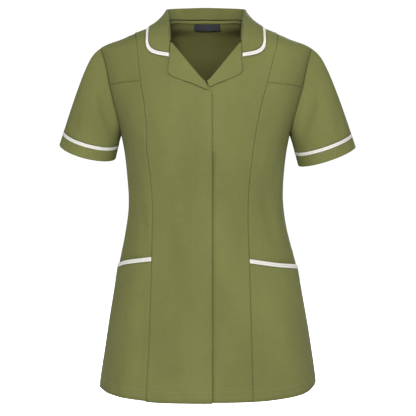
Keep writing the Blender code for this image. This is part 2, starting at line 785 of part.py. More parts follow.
def armhole_point(side, angle):
    """A point of the sleeve's seam, from the shoulder by the front and the underarm to the back."""
    middle = (ARMHOLE_TOP + ARMHOLE_BOTTOM) / 2
    reach = (ARMHOLE_TOP - ARMHOLE_BOTTOM) / 2 - ARMHOLE_RISE_GAP
    up = math.cos(angle)
    height = middle + math.copysign(reach * abs(up) ** (2 / ARMHOLE_FULLNESS), up)
    forward = math.sin(angle)
    back = forward < 0
    sideways = (ARMHOLE_BACK_REACH if back else ARMHOLE_FRONT_REACH[side_word(side)]) - ARMHOLE_GAP
    away = math.copysign(sideways * abs(forward) ** (2 / ARMHOLE_FULLNESS), forward)
    return face_point(side * (1 - away / arc_length(height, back)), height)


def sleeve_line(side, angle, steps=60):
    """Points down the sleeve's outer face at one angle, with the length left to the hem at each."""
    hem = SLEEVE_HEM[side_word(side)]
    outer = np.array((hem["outer"][0], 0.0, hem["outer"][1]))
    inner = np.array((hem["inner"][0], 0.0, hem["inner"][1]))
    front = np.array((0.0, -SLEEVE_HALF_DEPTH, -hem["dip"]))
    up = math.cos(angle)
    start = armhole_point(side, angle)
    end = (outer + inner) / 2 + (outer - inner) / 2 * up + front * math.sin(angle)
    flip = np.array((side, 1.0, 1.0))
    top, under = (1 + up) / 2, (1 - up) / 2
    leave = np.array(SLEEVE_START_TOP) * top + np.array(SLEEVE_START_UNDER) * under
    leave = leave + np.array((0.0, -SLEEVE_FRONT_SPREAD * math.sin(angle), 0.0))
    reach = np.linalg.norm(end - start)
    arrive = np.array(SLEEVE_END_TOP) * top + np.array(SLEEVE_END_UNDER) * under
    first = start + flip * leave * reach * (SLEEVE_TOP_SHARE * top + SLEEVE_UNDER_SHARE * under)
    second = end - flip * arrive * reach * SLEEVE_END_SHARE
    t = np.linspace(0, 1, steps)[:, None]
    line = start * (1 - t) ** 3 + first * 3 * t * (1 - t) ** 2 + second * 3 * t * t * (1 - t) + end * t ** 3
    length = np.concatenate(((0.0,), np.cumsum(np.linalg.norm(np.diff(line, axis=0), axis=1))))
    return line, length[-1] - length


def sleeve_fold_height(degrees, share):
    """How far the soft folds move a sleeve's face out, at an angle and a share of the way to its hem."""
    moved = 0.0
    for high_angle, high, low_angle, low, half_width, out in SLEEVE_FOLDS:
        along = (share - high) / (low - high)
        off = abs(degrees - (high_angle + (low_angle - high_angle) * along)) / half_width
        if 0 < along < 1 and off < 1:
            moved += out * math.sin(math.pi * along) ** 2 * (1 - off * off) ** 2
    return moved


def sleeve_sheet(side, from_hem, to_hem, rows):
    """Rings of the sleeve between two lengths above the hem; None starts at the armhole."""
    grid = np.zeros((rows, len(SLEEVE_ANGLES), 3))
    moved = np.zeros((rows, len(SLEEVE_ANGLES), 1))
    for c, degrees in enumerate(SLEEVE_ANGLES):
        line, left = sleeve_line(side, math.radians(degrees))
        start = left[0] if from_hem is None else from_hem
        for r, at in enumerate(np.linspace(start, to_hem, rows)):
            moved[r, c] = sleeve_fold_height(degrees, 1 - at / left[0])
            for axis in range(3):
                grid[r, c, axis] = np.interp(at, left[::-1], line[::-1, axis])
    outward = grid - grid.mean(axis=1, keepdims=True)
    return grid + outward / np.linalg.norm(outward, axis=2, keepdims=True) * moved


def sleeve_wall(name, side, from_hem, to_hem, rows, color, proud=0.0, wall=CLOTH):
    grid = sleeve_sheet(side, from_hem, to_hem, rows)
    normals = sheet_normals(grid, ring=True)
    centre = grid.mean(axis=1, keepdims=True)
    outward = np.sign(np.sum(normals * (grid - centre), axis=2).mean())
    outer = grid + normals * outward * proud
    inner = grid + normals * outward * (proud - wall)
    return add_wall(name, outer, inner, color, ring=True)


def sleeve(side):
    """A sleeve, its piping and its cuff band."""
    word = side_word(side)
    piping_top = CUFF_BAND + SLEEVE_PIPING
    sleeve_wall("sleeve_" + word, side, None, piping_top + SEAM_GAP, SLEEVE_ROWS, OLIVE)
    sleeve_wall("sleeve_piping_" + word, side, piping_top, CUFF_BAND, PIPING_ROWS, PIPING_WHITE,
                PIPING_WALL - CLOTH, PIPING_WALL)
    sleeve_wall("cuff_band_" + word, side, CUFF_BAND - SEAM_GAP, 0.0, CUFF_ROWS, OLIVE)


# ---------------------------------------------------------------- collar and lapels


def neck_seam_point(station, side):
    """Where the stand meets the neck edge, just past it, at a station from 0 to 2."""
    if station <= 1:
        height = LAPEL_TOP + (NECK_SIDE_HEIGHT - LAPEL_TOP) * station
        here = on_torso(front_turn(height, neck_edge_across(side, height)), height, -CLOTH / 2)
    else:
        height = back_neck_height(station)
        here = on_torso(side * station, height, -CLOTH / 2)
    inward = np.array((NECK_SHIFT - here[0], -here[1], 0.0))
    inward = inward / max(np.linalg.norm(inward), 1e-6)
    lean = max(0.0, 1.0 - max(0.0, station - 1.0) / 0.3)
    return here + inward * STAND_SEAM_STEP * lean + np.array((0.0, 0.0, STAND_SEAM_STEP))


def collar_edge_point(station, side):
    """The collar's outer edge, resting on the torso's face."""
    if station <= 1:
        table = COLLAR_EDGE_FRONT
        across = float(smooth_through(table[:, 0], table[:, 1], station))
        height = float(smooth_through(table[:, 0], table[:, 2], station))
        turn = 1.0 if station == 1 else abs(front_turn(height, NECK_SHIFT + across))
    else:
        table = COLLAR_EDGE_BACK
        turn = float(smooth_through(table[:, 0], table[:, 1], station))
        height = float(smooth_through(table[:, 0], table[:, 2], station))
    return on_torso(side * turn, height, COLLAR_LIE)


def torso_clearance(point):
    """How far a point is off the torso's face, and the face's outward direction there."""
    def level(at):
        half_width, front, back, shift = section_at(float(at[2]))
        deep = front if at[1] < 0 else back
        return (abs(at[0] - shift) / half_width) ** FULLNESS + (abs(at[1]) / deep) ** FULLNESS

    here = level(point)
    probe = 0.1
    slope = np.array([(level(point + s) - level(point - s)) / (2 * probe) for s in np.eye(3) * probe])
    steep = np.linalg.norm(slope)
    return (here - 1) / steep, slope / steep


def lift_off(point, least):
    """The point, moved out where needed until it is at least this far off the torso's face."""
    for _ in range(6):
        off, outward = torso_clearance(point)
        if off >= least:
            break
        point = point + outward * (least - off)
    return point


def collar_path(station, side):
    """Middle of the collar's cloth from the neck seam up the stand, over the fold and down the fall."""
    fold = np.array([float(smooth_through(COLLAR_FOLD[:, 0], COLLAR_FOLD[:, k], station)) for k in (1, 2, 3)])
    fold = np.array((NECK_SHIFT + side * fold[0], fold[1], fold[2]))
    seam = neck_seam_point(station, side)
    rim = collar_edge_point(station, side)
    away = rim - fold
    away[2] = 0.0
    away = away / np.linalg.norm(away)
    down = np.array((0.0, 0.0, -1.0))
    stand_top = fold - away * FOLD_RADIUS + down * FOLD_RADIUS
    fall_top = fold + away * FOLD_RADIUS + down * FOLD_RADIUS
    stand = [seam + (stand_top - seam) * t for t in np.linspace(0, 1, STAND_POINTS)]
    shoulder = away * FOLD_RADIUS * FOLD_SHOULDER
    bend = [fold - shoulder + down * FOLD_SHOULDER_DROP, fold + shoulder + down * FOLD_SHOULDER_DROP]
    fall = []
    for share in np.linspace(0, 1, FALL_STEPS + 1):
        point = fall_top + (rim - fall_top) * share
        if share < 1:
            point = lift_off(point, COLLAR_LIE + COLLAR_SPRING * math.sin(math.pi * share))
        fall.append(point)
    return np.array(stand + bend + fall)


def collar_stations():
    """Side and station from the wearer's right front round the back to the left front."""
    return [(-1, s) for s in COLLAR_STATIONS] + [(1, 2.0)] + [(1, s) for s in COLLAR_STATIONS[::-1]]


def collar_sheet(from_rim, to_rim, fall_rows):
    """The collar's cloth between two lengths from its outer edge; None starts at the neck seam."""
    columns = []
    head_points = STAND_POINTS + 2
    for side, station in collar_stations():
        path = collar_path(station, side)
        length = np.concatenate(((0.0,), np.cumsum(np.linalg.norm(np.diff(path, axis=0), axis=1))))
        left = length[-1] - length
        start = left[head_points] if from_rim is None else from_rim
        wanted = np.linspace(start, to_rim, fall_rows)
        fall = [[np.interp(at, left[::-1], path[::-1, k]) for k in range(3)] for at in wanted]
        head = [] if from_rim is not None else [list(point) for point in path[:head_points]]
        columns.append(head + fall)
    return np.array(columns).transpose(1, 0, 2)


def collar_wall(name, sheet, wall, color):
    normals = sheet_normals(sheet)
    outer = sheet + normals * wall / 2
    inner = sheet - normals * wall / 2
    return add_wall(name, outer, inner, color)


def collar():
    fall_end = COLLAR_PIPING + 2 * SEAM_GAP
    collar_wall("collar", collar_sheet(None, fall_end, COLLAR_FALL_ROWS), CLOTH, OLIVE)
    collar_wall("collar_piping", collar_sheet(COLLAR_PIPING, 0.0, PIPING_ROWS), PIPING_WALL, PIPING_WHITE)


def lapel(name, shape, level):
    """A lapel: the front's facing turned out over its roll line, lying on the front."""
    roll = np.array(shape["roll"])
    top, tip, corner = roll[0], roll[-1], np.array(shape["corner"])
    walk = np.concatenate(((0.0,), np.cumsum(np.linalg.norm(np.diff(roll, axis=0), axis=1))))
    outer = []
    inner = []
    for p in LAPEL_ROWS:
        start = np.array([np.interp(p * walk[-1], walk, roll[:, k]) for k in (0, 1)])
        if p < LAPEL_CORNER_SHARE:
            rim = top + (corner - top) * (p / LAPEL_CORNER_SHARE)
        else:
            rim = corner + (tip - corner) * ((p - LAPEL_CORNER_SHARE) / (1 - LAPEL_CORNER_SHARE))
        width = np.linalg.norm(rim - start)
        across = (rim - start) / width
        wrapped = ease((start[1] - shape["wrap_end"]) / LAPEL_FADE)
        narrow = min(1.0, width / LAPEL_FULL_WIDTH)
        out_row = []
        in_row = []
        for bent, straight in zip(LAPEL_FOLD, LAPEL_FLAT):
            far, lift, in_far, in_lift = np.array(bent) * wrapped + np.array(straight) * (1 - wrapped)
            out_row.append(laid(start + across * far * narrow, lift, level))
            in_row.append(laid(start + across * in_far * narrow, in_lift, level))
        for share in LAPEL_SHARES:
            past_fold = min(LAPEL_PAST_FOLD_SHARE, LAPEL_PAST_FOLD * share / width)
            place = start + across * width * max(share, past_fold)
            lift = LAYER + LAPEL_SPRING * (1 - share)
            out_row.append(laid(place, lift, level))
            in_row.append(laid(place, lift - CLOTH, level))
        outer.append(out_row)
        inner.append(in_row)
    return add_wall(name, np.array(outer), np.array(inner), OLIVE)


def laid(place, lift, level):
    """A point this far off a front's face, given how far across and how high it is."""
    return on_torso(front_turn(place[1], place[0]), place[1], level(place[0]) + lift)


def lapels():
    lapel("lapel_right", LAPEL_RIGHT, lambda across: 0.0)
    lapel("lapel_left", LAPEL_LEFT, underlap_level)


# ---------------------------------------------------------------- neck tape and label


def neck_tape(name):
    """A narrow tape over the back neck seam, inside."""
    turns = np.linspace(TAPE_END_TURN, 4 - TAPE_END_TURN, 25)
    drops = (TAPE_DROP, TAPE_DROP + TAPE_HEIGHT)
    grid = np.array([[(t, back_neck_height(t) - drop) for t in turns] for drop in drops])
    deep = -(CLOTH + LAY_GAP)
    return add_wall(name, *sheet_pair(grid, lambda t, h: deep, TAPE_WALL), PALE_OLIVE)


def neck_label(name):
    """A bare woven label, held by its upper edge under the tape and bowed a little at its lower one."""
    quarter = arc_length(LABEL_TOP, True)
    middle = 2 - LABEL_SHIFT / quarter
    half = LABEL_WIDTH / 2 / quarter
    turns = np.linspace(middle - half, middle + half, 7)
    heights = np.linspace(LABEL_BOTTOM, LABEL_TOP, 4)
    grid = np.array([[(t, h) for t in turns] for h in heights])

    def out(turn, height):
        away = (LABEL_TOP - height) / (LABEL_TOP - LABEL_BOTTOM)
        mid = math.cos(0.5 * math.pi * (turn - middle) / half)
        bow = LABEL_BOW_AT_SIDES + (1 - LABEL_BOW_AT_SIDES) * mid
        return -(CLOTH + LAY_GAP) - LABEL_BOW * away * bow

    return add_wall(name, *sheet_pair(grid, out, TAPE_WALL), LABEL_BLACK)


def clear_scene():
    for thing in list(bpy.data.objects):
        bpy.data.objects.remove(thing, do_unlink=True)


def build_tunic():
    clear_scene()
    front_panel("front_overlap", -1, LAPEL_RIGHT, OVERLAP_EDGE, None, OVERLAP_DROP)
    front_panel("front_underlap", 1, LAPEL_LEFT, UNDERLAP_EDGE, underlap_out, 0.0)
    back_panel("back")
    for side in (-1, 1):
        word = side_word(side)
        yoke_panel("front_yoke_" + word, side)
        side_front_panel("side_front_" + word, side)
        pocket_panel("pocket_" + word, side)
        pocket_piping("pocket_piping_" + word, side)
        sleeve(side)
    collar()
    lapels()
    neck_tape("neck_tape")
    neck_label("neck_label")


build_tunic()
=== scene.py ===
# %% [markdown]
# # A medical tunic in olive cloth with white piping
#
# The tunic is shown as if somebody wore it: filled out, closed at the front and empty inside. Each
# panel that was cut and sewn is a thin wall in the frame. Here every panel gets a fine sheet of cloth
# of its own, with soft creases, seams, stitches and a woven finish, and a soft studio light.
#
# ## The frame
#
# The frame holds one solid for each sewn piece, in metres, with +Z up, the front towards -Y and the
# origin between the shoulders. Everything below is made from these solids, so it lies where they lie.

import math

import bmesh
import bpy
import numpy as np
from mathutils import Matrix, Vector, kdtree


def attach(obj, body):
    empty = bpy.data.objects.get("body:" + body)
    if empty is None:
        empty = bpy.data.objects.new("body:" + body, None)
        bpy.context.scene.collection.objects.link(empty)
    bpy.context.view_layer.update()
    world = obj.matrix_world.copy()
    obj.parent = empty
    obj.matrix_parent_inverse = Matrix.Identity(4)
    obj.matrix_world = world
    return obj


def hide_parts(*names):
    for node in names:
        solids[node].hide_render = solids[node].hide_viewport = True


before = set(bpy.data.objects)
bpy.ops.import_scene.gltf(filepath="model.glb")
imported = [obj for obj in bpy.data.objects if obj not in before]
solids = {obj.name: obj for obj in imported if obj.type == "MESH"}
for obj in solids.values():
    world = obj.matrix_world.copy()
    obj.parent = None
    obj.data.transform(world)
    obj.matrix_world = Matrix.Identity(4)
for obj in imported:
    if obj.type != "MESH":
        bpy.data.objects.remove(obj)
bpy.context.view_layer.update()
MM = 0.001
UP = (0, 0, 1)
# A point of the upright axis of the body, which the photo shows slightly turned
BODY_AXIS = (-0.004, 0.0, 0.0)
print("solids in the frame:", len(solids))

# %% [markdown]
# ## The camera
#
# The picture was taken level with the middle of the tunic from about 2.3 m. A long lens keeps the
# sleeves from spreading. The width seen at the plane of the side seams sets the focal length.

# %% Set the camera
CAMERA_PLACE = (0.0, -2.3, -0.3439)
WIDTH_SEEN = 0.7904
SENSOR = 36.0

camera_data = bpy.data.cameras.new("camera")
camera_data.sensor_width = SENSOR
camera_data.lens = SENSOR * -CAMERA_PLACE[1] / WIDTH_SEEN
camera = bpy.data.objects.new("camera", camera_data)
camera.location = CAMERA_PLACE
camera.rotation_euler = (math.radians(90), 0, 0)
bpy.context.scene.collection.objects.link(camera)
bpy.context.scene.camera = camera
print(f"lens {camera_data.lens:.1f} mm")

# %% [markdown]
# ## From a solid wall to a sheet of cloth
#
# A cloth solid has an outer face, an inner face and a thin rim. Only the outer face is needed: the
# thickness is added again at the end. The solid is copied and its loose triangles are merged. Faces
# that meet at less than a sharp corner belong to one side of the cloth, so a walk from face to face
# finds each side, and the larger of the two is the outer one. Its triangles are joined in pairs, because
# subdivision makes smooth surfaces from quads and lumpy ones from triangles.

# %% Take one side of a solid as a sheet of quads
RIM_CORNER = math.radians(50)
# The lapels' folds unroll at their lower ends, where the cloth itself bends by up to 52 degrees
LAPEL_RIM_CORNER = math.radians(58)
# Panels whose rows crowd together at the lower end of the armhole
CROWDED = ("back", "side_front_right", "side_front_left")
# Points closer than these become one: in any piece, in a crowded panel and in a lapel; in millimetres
SAME_PLACE = 0.02
CROWDED_MERGE = 2.3
LAPEL_MERGE = 1.3
# Holes with up to this many sides are closed in the lapels
HOLE_SIDES = 8


def sides_of_cloth(bm, corner):
    """Groups of faces that join at less than a rim's corner, with the largest group first."""
    waiting = set(bm.faces)
    groups = []
    while waiting:
        group = [waiting.pop()]
        for face in group:
            for edge in face.edges:
                if len(edge.link_faces) == 2 and edge.calc_face_angle() < corner:
                    for other in edge.link_faces:
                        if other in waiting:
                            waiting.remove(other)
                            group.append(other)
        groups.append(group)
    return sorted(groups, key=lambda group: -sum(face.calc_area() for face in group))


def with_slivers(groups, side):
    """One side's faces, with the crumpled strips that touch that side but not the other one."""
    owner = {face: k for k, group in enumerate(groups) for face in group}
    keep = set(groups[side])
    for group in groups[2:]:
        touched = {owner[other] for face in group for edge in face.edges for other in edge.link_faces}
        if side in touched and 1 - side not in touched:
            keep.update(group)
    return keep


def drop_flaps(bm):
    """Deletes the points whose faces all lie over other faces, left where columns of points cross."""
    crossed = [edge for edge in bm.edges if len(edge.link_faces) > 2]
    doubled = {face for edge in crossed for face in edge.link_faces}
    held = {vert for edge in crossed for vert in edge.verts}
    flaps = [vert for vert in bm.verts if vert not in held and doubled.issuperset(vert.link_faces)]
    bmesh.ops.delete(bm, geom=flaps, context="VERTS")


def sheet_from(node, side=0):
    """One side of a node's cloth as an open mesh object: 0 is the larger, outer side."""
    is_lapel = node.startswith("lapel")
    bm = bmesh.new()
    bm.from_mesh(solids[node].data)
    bmesh.ops.remove_doubles(bm, verts=bm.verts, dist=SAME_PLACE * MM)
    groups = sides_of_cloth(bm, LAPEL_RIM_CORNER if is_lapel else RIM_CORNER)
    keep = with_slivers(groups, side) if node in CROWDED else set(groups[side])
    bmesh.ops.delete(bm, geom=[face for face in bm.faces if face not in keep], context="FACES")
    merged = CROWDED_MERGE if node in CROWDED else LAPEL_MERGE if is_lapel else SAME_PLACE
    bmesh.ops.remove_doubles(bm, verts=bm.verts, dist=merged * MM)
    if is_lapel:
        drop_flaps(bm)
        rim = [edge for edge in bm.edges if edge.is_boundary]
        bmesh.ops.holes_fill(bm, edges=rim, sides=HOLE_SIDES)
    bmesh.ops.join_triangles(
        bm,
        faces=bm.faces,
        angle_face_threshold=math.pi,
        angle_shape_threshold=math.pi,
        topology_influence=1.0,
    )
    mesh = bpy.data.meshes.new(node + "_sheet")
    bm.to_mesh(mesh)
    odd = sum(1 for face in bm.faces if len(face.verts) != 4)
    print(f"{node}: {len(bm.faces)} faces, {odd} not quads")
    bm.free()
    sheet = bpy.data.objects.new(node + "_sheet", mesh)
    bpy.context.scene.collection.objects.link(sheet)
    return sheet


# %% [markdown]
# ## A smooth sheet that still passes through the solid's points
#
# Subdivision rounds a surface off and pulls it inwards, which would open the seams and sink the layers
# into each other. So the coarse points are first moved out by as much as the smooth surface misses
# them, a few times over. After that the smooth sheet runs through the places the solid gives.


# %% Smooth a sheet without shrinking it
FIT_ROUNDS = 4
SMOOTHING_PASSES = 2


def points_of(mesh):
    flat = np.empty(len(mesh.vertices) * 3, np.float32)
    mesh.vertices.foreach_get("co", flat)
    return flat.reshape(-1, 3).astype(float)


def set_points(mesh, points):
    mesh.vertices.foreach_set("co", np.ascontiguousarray(points, np.float32).ravel())
    mesh.update()


def smooth_points(bm, verts, passes):
    """Moves points halfway to the middle of their neighbours, a few times over."""
    for _ in range(passes):
        bmesh.ops.smooth_vert(
            bm, verts=verts, factor=0.5, use_axis_x=True, use_axis_y=True, use_axis_z=True
        )


def smooth_sheet(sheet, levels):
    """Replaces the sheet's mesh by a smooth one through the same points."""
    modifier = sheet.modifiers.new("smooth", "SUBSURF")
    modifier.levels = modifier.render_levels = levels
    modifier.boundary_smooth = "PRESERVE_CORNERS"
    coarse = sheet.data
    wanted = points_of(coarse)
    for _ in range(FIT_ROUNDS):
        shown = sheet.evaluated_get(bpy.context.evaluated_depsgraph_get())
        missed = wanted - points_of(shown.data)[: len(wanted)]
        set_points(coarse, points_of(coarse) + missed)
    shown = sheet.evaluated_get(bpy.context.evaluated_depsgraph_get())
    missed = wanted - points_of(shown.data)[: len(wanted)]
    fine = bpy.data.meshes.new_from_object(shown)
    bm = bmesh.new()
    bm.from_mesh(fine)
    inside = [vert for vert in bm.verts if not vert.is_boundary]
    smooth_points(bm, inside, SMOOTHING_PASSES)
    bm.to_mesh(fine)
    bm.free()
    sheet.modifiers.clear()
    sheet.data = fine
    bpy.data.meshes.remove(coarse)
    print(f"{sheet.name}: {len(fine.polygons)} faces, off by {1000 * np.abs(missed).max():.2f} mm at most")
    return sheet


# %% [markdown]
# ## Creases
#
# Cloth that hangs from a few seams falls in soft troughs and ridges. Each crease is a line in one view,
# with a half width and a depth, deepest along the middle and gone at its ends. The same table moves
# every layer that lies there, so a pocket follows the panel below it. Faces that look away from the
# crease's view are left alone.

# %% Place the creases
VIEWS = {
    "front": (Vector((0, -1, 0)), (0, 2)),
    "back": (Vector((0, 1, 0)), (0, 2)),
    "right": (Vector((-1, 0, 0)), (1, 2)),
    "left": (Vector((1, 0, 0)), (1, 2)),
}

# View, start across and height, end across and height, half width, how far out; in millimetres
CREASES = (
    ("front", -207, -96, -169, -236, 15, -3.4),
    ("front", -216, -116, -204, -196, 12, 1.8),
    ("front", -240, -150, -252, -216, 12, -1.6),
    ("front", 203, -98, 168, -240, 15, -3.2),
    ("front", 214, -120, 201, -204, 12, 1.7),
    ("front", 238, -156, 250, -222, 12, -1.6),
    ("front", -160, -190, -130, -330, 17, -3.0),
    ("front", -140, -176, -92, -216, 15, -1.7),
    ("front", -116, -196, -110, -276, 15, 1.5),
    ("front", 150, -192, 122, -324, 17, -3.0),
    ("front", 134, -176, 86, -212, 15, -1.6),
    ("front", 108, -200, 102, -270, 15, 1.5),
    ("front", -120, -316, -118, -430, 12, -1.9),
    ("front", 96, -300, 132, -436, 15, -1.9),
    ("front", -58, -300, -46, -470, 18, 1.0),
    ("front", 56, -310, 42, -480, 18, 1.0),
    ("front", -84, -120, -70, -230, 16, -0.9),
    ("front", 80, -118, 66, -228, 16, -0.9),
    ("front", -12, -130, -16, -250, 14, 0.8),
    ("front", -60, -470, -64, -700, 16, -0.9),
    ("front", -20, -500, -16, -700, 15, 0.8),
    ("front", 46, -480, 50, -700, 17, -0.9),
    ("front", -134, -480, -150, -680, 16, 2.0),
    ("front", -114, -520, -124, -700, 13, -1.7),
    ("front", 132, -480, 150, -676, 17, 1.9),
    ("front", 104, -520, 112, -700, 14, -1.6),
    ("front", -174, -636, -168, -704, 9, -1.7),
    ("front", -158, -648, -156, -704, 8, 1.2),
    ("back", -176, -170, -208, -98, 14, -2.6),
    ("back", -188, -208, -230, -132, 13, -2.0),
    ("back", 174, -166, 202, -104, 14, -2.6),
    ("back", 190, -214, 228, -138, 13, -1.9),
    ("back", -150, -184, -88, -232, 17, -2.2),
    ("back", 146, -190, 84, -226, 16, -2.1),
    ("back", -70, -318, -52, -430, 17, -2.2),
    ("back", 62, -300, 48, -420, 18, -2.3),
    ("back", 8, -330, 2, -412, 14, 1.5),
    ("back", -112, -300, -96, -372, 13, 1.6),
    ("back", 104, -306, 92, -380, 13, 1.6),
    ("back", -96, -520, -108, -704, 18, 2.2),
    ("back", 92, -500, 110, -704, 19, 2.0),
    ("back", 6, -540, -4, -704, 20, -1.6),
    ("right", 20, -240, -10, -330, 15, -1.8),
    ("right", 30, -420, 44, -650, 17, 1.8),
    ("left", 18, -244, -8, -336, 15, -1.8),
    ("left", 26, -430, 40, -660, 17, 1.8),
)


def normals_of(mesh):
    flat = np.empty(len(mesh.vertices) * 3, np.float32)
    mesh.vertices.foreach_get("normal", flat)
    return flat.reshape(-1, 3).astype(float)


def crease_cloth(sheet):
    points = points_of(sheet.data)
    normals = normals_of(sheet.data)
    moved = np.zeros(len(points))
    for view, x0, z0, x1, z1, half_width, out in CREASES:
        towards, axes = VIEWS[view]
        place = points[:, axes] / MM
        start, run = np.array((x0, z0), float), np.array((x1 - x0, z1 - z0), float)
        share = (place - start) @ run / (run @ run)
        aside = np.abs((place - start) @ np.array((-run[1], run[0]))) / np.linalg.norm(run) / half_width
        across = np.clip(1 - aside**2, 0, 1) ** 2
        along = np.sin(np.pi * np.clip(share, 0, 1)) ** 1.5
        facing = np.clip(normals @ np.array(towards) * 2, 0, 1)
        moved += out * MM * across * along * facing
    set_points(sheet.data, points + normals * moved[:, None])


# %% [markdown]
# ## Knowing how far a seam is
#
# A seam shows as a thin dark line where two panels meet, with a raised band beside it where the turned
# edges lie under the cloth. Both are finer than the mesh, so the finish draws them. It needs to know
# how far each point is from the panel's edge. That distance grows evenly from the edge, so values at
# the mesh's points are enough. It is stored in an attribute, in millimetres.


# %% Measure the distance to a panel's edge
def edge_lines(mesh, chosen=None):
    """The mesh's open edges as pairs of points; chosen picks them by their middle and direction."""
    bm = bmesh.new()
    bm.from_mesh(mesh)
    pairs = [(edge.verts[0].co.copy(), edge.verts[1].co.copy()) for edge in bm.edges if edge.is_boundary]
    bm.free()
    if chosen is None:
        return pairs
    return [(a, b) for a, b in pairs if chosen((a + b) / 2, (b - a).normalized())]


def tree_of(places):
    """A search tree of places by their keys."""
    tree = kdtree.KDTree(len(places))
    for key, place in places.items():
        tree.insert(place, key)
    tree.balance()
    return tree


def distance_to(points, lines):
    """Distance in millimetres from each point to the nearest of some short lines."""
    marks = []
    for start, end in lines:
        steps = max(1, math.ceil((end - start).length / MM))
        marks += [start.lerp(end, k / steps) for k in range(steps)]
        marks.append(end)
    tree = tree_of(dict(enumerate(marks)))
    return np.array([tree.find(point)[2] for point in points]) / MM


def store(mesh, name, values):
    attribute = mesh.attributes.new(name, "FLOAT", "POINT")
    attribute.data.foreach_set("value", np.ascontiguousarray(values, np.float32))


def store_edge_distance(mesh):
    store(mesh, "edge", distance_to(points_of(mesh), edge_lines(mesh)))


# %% [markdown]
# Where two panels are sewn together, one must not stand above the other. So a panel's edge can be
# brought level with its neighbour's edge, with a shift that dies out into the panel. A free edge does
# the opposite: it is thicker by its turning and springs up a little, and throws a fine shadow. Over the
# shoulders the cloth sags a little between the collar and the sleeve.

# %% Level a seam, lift a free edge, settle the shoulders
# An edge point is levelled when the neighbour's edge is nearer than this; in millimetres, as the rest
LEVEL_NEAR = 4
# How far each panel's edge grows towards its neighbour at a seam
SEAM_GROWTH = 0.14
# How far the shoulders sag, how far from the body's axis they sag most, and the reach of the sag
SAG, SAG_MIDDLE, SAG_REACH = 3.4, 163.0, 50.0
# The sag is full above the first height and gone below the second
SAG_HIGH, SAG_LOW = -28.0, -115.0


def level_with(mesh, neighbour, reach):
    """Moves the mesh along its normals so that its edge lies level with a neighbour's edge."""
    points, normals = points_of(mesh), normals_of(mesh)
    marks = [mark for pair in edge_lines(neighbour) for mark in pair]
    bm = bmesh.new()
    bm.from_mesh(mesh)
    rim = [vert.index for vert in bm.verts if vert.is_boundary]
    bm.free()
    tree = tree_of(dict(enumerate(marks)))
    steps = {}
    for k in rim:
        mark, _, away = tree.find(points[k])
        if away < LEVEL_NEAR * MM:
            steps[k] = float((np.array(mark) - points[k]) @ normals[k])
    beside = tree_of({k: points[k] for k in steps})
    for k, point in enumerate(points):
        _, near, away = beside.find(point)
        points[k] = point + normals[k] * steps[near] * max(0.0, 1 - away / (reach * MM)) ** 2
    set_points(mesh, points)
    print(f"{mesh.name}: edge was off by {1000 * max(abs(step) for step in steps.values()):.1f} mm")


def close_seams(mesh):
    """Lets the cloth grow past its edge in its own plane, so that only a hair's gap stays at a seam."""
    bm = bmesh.new()
    bm.from_mesh(mesh)
    shifts = {}
    for edge in bm.edges:
        if edge.is_boundary:
            face = edge.link_faces[0]
            along = edge.verts[1].co - edge.verts[0].co
            outwards = along.cross(face.normal).normalized()
            if outwards.dot(edge.verts[0].co - face.calc_center_median()) < 0:
                outwards = -outwards
            for vert in edge.verts:
                shifts.setdefault(vert, []).append(outwards)
    for vert, parts in shifts.items():
        vert.co += sum(parts, Vector()).normalized() * SEAM_GROWTH * MM
    bm.to_mesh(mesh)
    bm.free()


def settle_shoulders(mesh):
    """Lowers the cloth over the shoulders, most between the collar and the sleeve."""
    points = points_of(mesh)
    off_axis = np.abs(points[:, 0] - BODY_AXIS[0]) / MM
    across = np.clip(1 - ((off_axis - SAG_MIDDLE) / SAG_REACH) ** 2, 0, 1) ** 2
    high = np.clip((points[:, 2] / MM - SAG_LOW) / (SAG_HIGH - SAG_LOW), 0, 1)
    points[:, 2] -= SAG * MM * across * high**2 * (3 - 2 * high)
    set_points(mesh, points)


def lift_edge(mesh, lines, reach, out):
    """Moves the mesh out along its normals near some lines; reach and out are in millimetres."""
    points = points_of(mesh)
    share = np.clip(1 - distance_to(points, lines) / reach, 0, 1)
    set_points(mesh, points + normals_of(mesh) * (out * MM * share**2)[:, None])


# %% [markdown]
# ## The cloth's grain
#
# The weave has to follow the cloth and not the room, so each sheet gets a map in metres. It is wrapped
# round an axis: the body's for the panels, the arm's for the sleeves. The cut of the map goes where
# the real cloth has a seam or where the panel ends.


# %% Map a sheet round an axis
BODY_RADIUS, LAPEL_RADIUS, NECK_RADIUS, ARM_RADIUS = 0.15, 0.12, 0.09, 0.055


def wrap_map(sheet, axis_point, axis, away_from_cut, radius, spread=False):
    """Map in metres: across is the angle about the axis times a radius, up is the length along it.

    spread counts the way out from the axis as well, for cloth that turns over."""
    mesh = sheet.data
    up = Vector(axis).normalized()
    ahead = Vector(away_from_cut)
    ahead = (ahead - up * ahead.dot(up)).normalized()
    side = up.cross(ahead)
    away = points_of(mesh) - np.array(axis_point)
    x, y, along = away @ np.array(ahead), away @ np.array(side), away @ np.array(up)
    if spread:
        along = along - np.hypot(x, y)
    angle = np.arctan2(y, x)
    loops = np.empty(len(mesh.loops), np.int32)
    mesh.loops.foreach_get("vertex_index", loops)
    loop_angle = angle[loops].reshape(-1, 4)
    low = loop_angle.min(axis=1, keepdims=True)
    loop_angle = np.where(loop_angle - low > math.pi, loop_angle - 2 * math.pi, loop_angle)
    grain = mesh.uv_layers.new(name="grain")
    pairs = np.stack((loop_angle.ravel() * radius, along[loops]), axis=1)
    grain.data.foreach_set("uv", np.ascontiguousarray(pairs, np.float32).ravel())


# %% [markdown]
# ## The woven finish
#
# The cloth is a plain olive mix of polyester and cotton: matt, tightly woven, with slightly uneven
# threads. Two effects are shared by several materials, so each is a node group. The weave gives a
# height and a tone from the map. The seam gives a height and a dark mask from the distance to the
# edge. Wear would be wrong on a new garment, so there is none.

# %% Node helpers
VALUE, VECTOR = "NodeSocketFloat", "NodeSocketVector"


